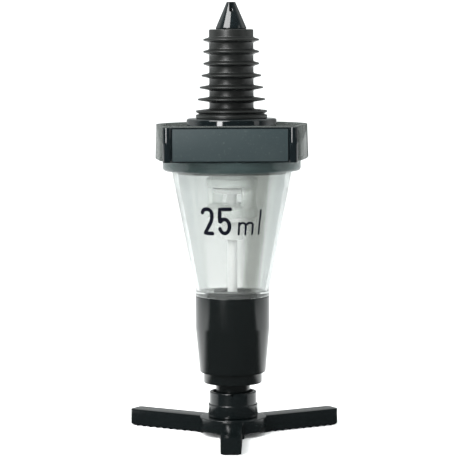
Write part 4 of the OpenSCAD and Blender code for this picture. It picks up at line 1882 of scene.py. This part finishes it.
@dataclass
class PressArms:
    """Three scalloped arms round a hub, moulded in one piece."""

    arm_count: int = 3
    reach: float = 41.6
    width: float = 7.0
    height: float = 6.0
    hub_r: float = 11.7
    hub_z: float = 1.4
    hub_top: float = 6.4
    hub_inset: float = 0.02
    hub_lap: float = 0.5
    hub_rim: float = 0.4
    bore: float = 6.1
    root_fillet: float = 0.5
    corner: float = 1.2
    tip_round: float = 2.2
    scallops: int = 9
    pitch: float = 2.9
    depth: float = 0.5
    land: float = 0.3
    tip_land: float = 3.0
    sole_round: float = 1.4
    under: float = 0.05
    edge: float = 0.3
    front: float = -90.0

    def build(self) -> None:
        """Models and dresses the arms."""
        body = prism("press_arms_form", self.plan(), 0.0, self.height)
        first = [self.underside("arm_cut", self.front)]
        first += [self.sole(f"sole_cut_{side:+d}", side, self.front) for side in (-1, 1)]
        combine(body, all_round(first, self.arm_count), "DIFFERENCE")
        radius, low = self.hub_r - self.hub_inset, self.hub_z + self.hub_lap
        top = (radius, self.hub_top, SOFT)
        hub = spun("hub_rise", ease([(0.0, low), (radius, low), top, (0.0, self.hub_top)]))
        under = rod("hub_under", self.hub_r - self.hub_rim, -PAST, self.hub_z)
        bevel(body, self.edge, 3, 50.0)
        combine(body, [hub], "UNION")
        way = rod("hub_bore", self.bore, -PAST, self.hub_top + PAST)
        combine(body, [under, way], "DIFFERENCE")
        settle(body, ARM_BLACK, Body.ARMS, ["press_arms"])

    def plan(self) -> List[Flat]:
        """Plan of the arms, each run into the hub with a fillet at either side.

        Returns:
            The plan's points.
        """
        half, fillet = self.width / 2.0, self.root_fillet
        far = math.sqrt((self.hub_r + fillet) ** 2 - (half + fillet) ** 2)
        lean = math.degrees(math.atan2(half + fillet, far))
        right = arc((far, -half - fillet), fillet, 180.0 - lean, 90.0, 8)
        tip = ease([
            (far + 1.0, -half),
            (self.reach, -half, self.corner),
            (self.reach, half, self.corner),
            (far + 1.0, half),
        ])
        one = right + tip[1:-1] + [(x, -y) for x, y in reversed(right)]
        outline: List[Flat] = []
        for i in range(self.arm_count):
            turn = Matrix.Rotation(math.radians(360.0 * i / self.arm_count + self.front), 2)
            outline += [tuple(turn @ Vector(p)) for p in one]
        return outline

    def underside(self, name: str, degrees: float) -> bpy.types.Object:
        """Cutter for one arm's scallops and the round of its lower tip.

        Args:
            name: Name of the cutter.
            degrees: Direction of the arm.

        Returns:
            The cutter, in place.
        """
        chord = self.pitch - self.land
        radius = (chord * chord / 4.0 + self.depth * self.depth) / (2.0 * self.depth)
        swing = math.degrees(math.acos((radius - self.depth - self.under) / radius))
        top: List[Flat] = []
        for i in range(self.scallops - 1, -1, -1):
            middle = self.reach - self.tip_land - (i + 0.5) * self.pitch
            top += arc((middle, self.depth - radius), radius, 90.0 + swing, 90.0 - swing, 8)
        r, out = self.tip_round, self.reach + PAST
        corner = arc((self.reach - r, r), r, -90.0, 0.0, 6)
        side = [(top[0][0], -PAST)] + top + [(self.reach - r, -self.under)] + corner[1:]
        cutter = prism(name, side + [(out, r), (out, -PAST)], -self.width, self.width)
        return put(cutter, around(degrees) @ around(90.0, "X"))

    def sole(self, name: str, side: int, degrees: float) -> bpy.types.Object:
        """Cutter that rounds one lower edge of an arm's tip.

        Args:
            name: Name of the cutter.
            side: 1 or -1, for the edge at either side of the arm.
            degrees: Direction of the arm.

        Returns:
            The cutter, in place.
        """
        half, r = self.width / 2.0, self.sole_round
        out = half + PAST
        outline = [(half - r, -PAST)] + arc((half - r, r), r, -90.0, 0.0, 6)
        plan = [(side * x, y) for x, y in outline + [(out, r), (out, -PAST)]]
        cutter = prism(name, plan, self.reach - self.tip_land, self.reach + PAST)
        along = Matrix(((0, 0, 1, 0), (1, 0, 0, 0), (0, 1, 0, 0), (0, 0, 0, 1)))
        return put(cutter, around(degrees) @ along)


# --------------------------------------------------------------------------
# Studio
# --------------------------------------------------------------------------


@dataclass(frozen=True)
class SoftLight:
    """A square studio light that looks at the object."""

    name: str
    azimuth: float
    elevation: float
    distance: float
    width: float
    height: float
    radiance: float

    def build(self, aim: Vector) -> None:
        """Places the light and points it.

        Args:
            aim: Point that it looks at, in metres.
        """
        a, e = math.radians(self.azimuth), math.radians(self.elevation)
        way = Vector((math.sin(a) * math.cos(e), -math.cos(a) * math.cos(e), math.sin(e)))
        data = bpy.data.lights.new(self.name, "AREA")
        data.shape = "RECTANGLE"
        data.size = self.width * MM
        data.size_y = self.height * MM
        data.energy = self.radiance * math.pi * data.size * data.size_y
        lamp = bpy.data.objects.new(self.name, data)
        bpy.context.scene.collection.objects.link(lamp)
        lamp.location = aim + way * (self.distance * MM)
        lamp.rotation_euler = way.to_track_quat("Z", "Y").to_euler()
        lamp.visible_camera = False
        lamp.visible_transmission = False


@dataclass
class Studio:
    """Pale floor, white surroundings, soft lights and the camera."""

    frame_px: int = 460
    focal_px: float = 2155.0
    sensor: float = 36.0
    camera_at: Tuple[float, float, float] = (15.6, -753.5, 136.7)
    aim: Tuple[float, float, float] = (-0.75, 0.0, 72.34)
    roll: float = -0.3
    light_aim_z: float = 75.0
    floor_half: float = 4000.0
    floor_corner: float = 900.0
    floor_t: float = 20.0
    floor_z: float = -0.02
    dark_front: float = 0.08
    bright_back: float = 1.05
    back_between: Tuple[float, float] = (-0.25, 0.45)
    sky: float = 0.25
    sky_between: Tuple[float, float] = (0.35, 0.95)
    dimmed: float = 0.55
    dimmed_between: Tuple[float, float] = (0.3, 0.9)
    right: float = 0.2
    right_between: Tuple[float, float] = (-0.15, 0.35)
    seen_front: float = 0.8
    ambient: float = 1.4
    colour: Colour = (0.965, 1.0, 0.995)

    def build(self) -> None:
        """Builds the whole studio."""
        self.floor()
        self.world()
        for light in self.lights():
            light.build(Vector((0.0, 0.0, self.light_aim_z * MM)))
        self.camera()

    def lights(self) -> List[SoftLight]:
        """Strip at the left front, box above it and a weak fill at the right.

        Returns:
            The lights.
        """
        return [
            SoftLight("key_strip", -29.0, 16.0, 720.0, 165.0, 330.0, 16.0),
            SoftLight("top_box", -38.0, 46.0, 760.0, 600.0, 340.0, 11.0),
            SoftLight("right_fill", 68.0, 20.0, 900.0, 240.0, 420.0, 1.2),
        ]

    def floor(self) -> None:
        """Pale floor with a rounded rim, just under the arms."""
        half, corner = self.floor_half, self.floor_corner
        sides = [(-half, -half), (half, -half), (half, half), (-half, half)]
        plan = ease([(x, y, corner) for x, y in sides], 12)
        slab = prism("studio_floor", plan, self.floor_z - self.floor_t, self.floor_z)
        to_metres(slab)
        slab.data.materials.append(FLOOR.material())

    def world(self) -> None:
        """White surroundings, which shiny faces see as dark in front of the object."""
        world = bpy.data.worlds.new("studio_world")
        bpy.context.scene.world = world
        world.use_nodes = True
        graph = Graph(world.node_tree)
        way = graph.node("ShaderNodeTexCoord", {}, {}, "Generated")
        back = way.part("Y")
        level = back.rise(*self.back_between) * (self.bright_back - self.dark_front)
        level = level + self.dark_front + way.part("Z").rise(*self.sky_between) * self.sky
        right = way.part("X").rise(*self.right_between) * self.right
        dimmed = back.rise(*self.dimmed_between) * (self.dimmed + right)
        mirrored, through = graph.mirrored(), graph.through()
        strength = mirrored * level * (1.0 - dimmed) + through * level.larger(self.seen_front)
        strength = strength + (1.0 - mirrored.larger(through)) * self.ambient
        inputs = {"Color": opaque(self.colour), "Strength": strength}
        light = graph.node("ShaderNodeBackground", {}, inputs)
        graph.node("ShaderNodeOutputWorld", {}, {"Surface": light})

    def camera(self) -> None:
        """Camera at the photograph's place, with its long lens."""
        data = bpy.data.cameras.new("photo_camera")
        data.sensor_width = self.sensor
        data.lens = self.focal_px / self.frame_px * self.sensor
        data.clip_start = 0.05
        data.clip_end = 50.0
        camera = bpy.data.objects.new("photo_camera", data)
        bpy.context.scene.collection.objects.link(camera)
        place, target = Vector(self.camera_at) * MM, Vector(self.aim) * MM
        look = (target - place).to_track_quat("-Z", "Y")
        level = Matrix.Translation(place) @ look.to_matrix().to_4x4()
        camera.matrix_world = level @ around(self.roll)
        bpy.context.scene.camera = camera


def plain_view() -> None:
    """Plain colour handling, so that white is white."""
    settings = bpy.context.scene.view_settings
    settings.view_transform = "Standard"
    settings.look = "None"
    settings.exposure = 0.0
    settings.gamma = 1.0


def main() -> None:
    """Builds every sub-assembly, from the top down, then the studio."""
    logging.basicConfig(level=logging.INFO, format="%(message)s")
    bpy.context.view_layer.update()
    plain_view()
    chamber = Chamber()
    upper = [Nozzle(), Cork(), Head(), chamber, CapacityMark(chamber)]
    lower = [Valve(), Barrel(), Plunger(), PressArms()]
    for part in (*upper, *lower, Studio()):
        part.build()
        LOG.info("built %s", type(part).__name__)


if __name__ == "__main__":
    main()
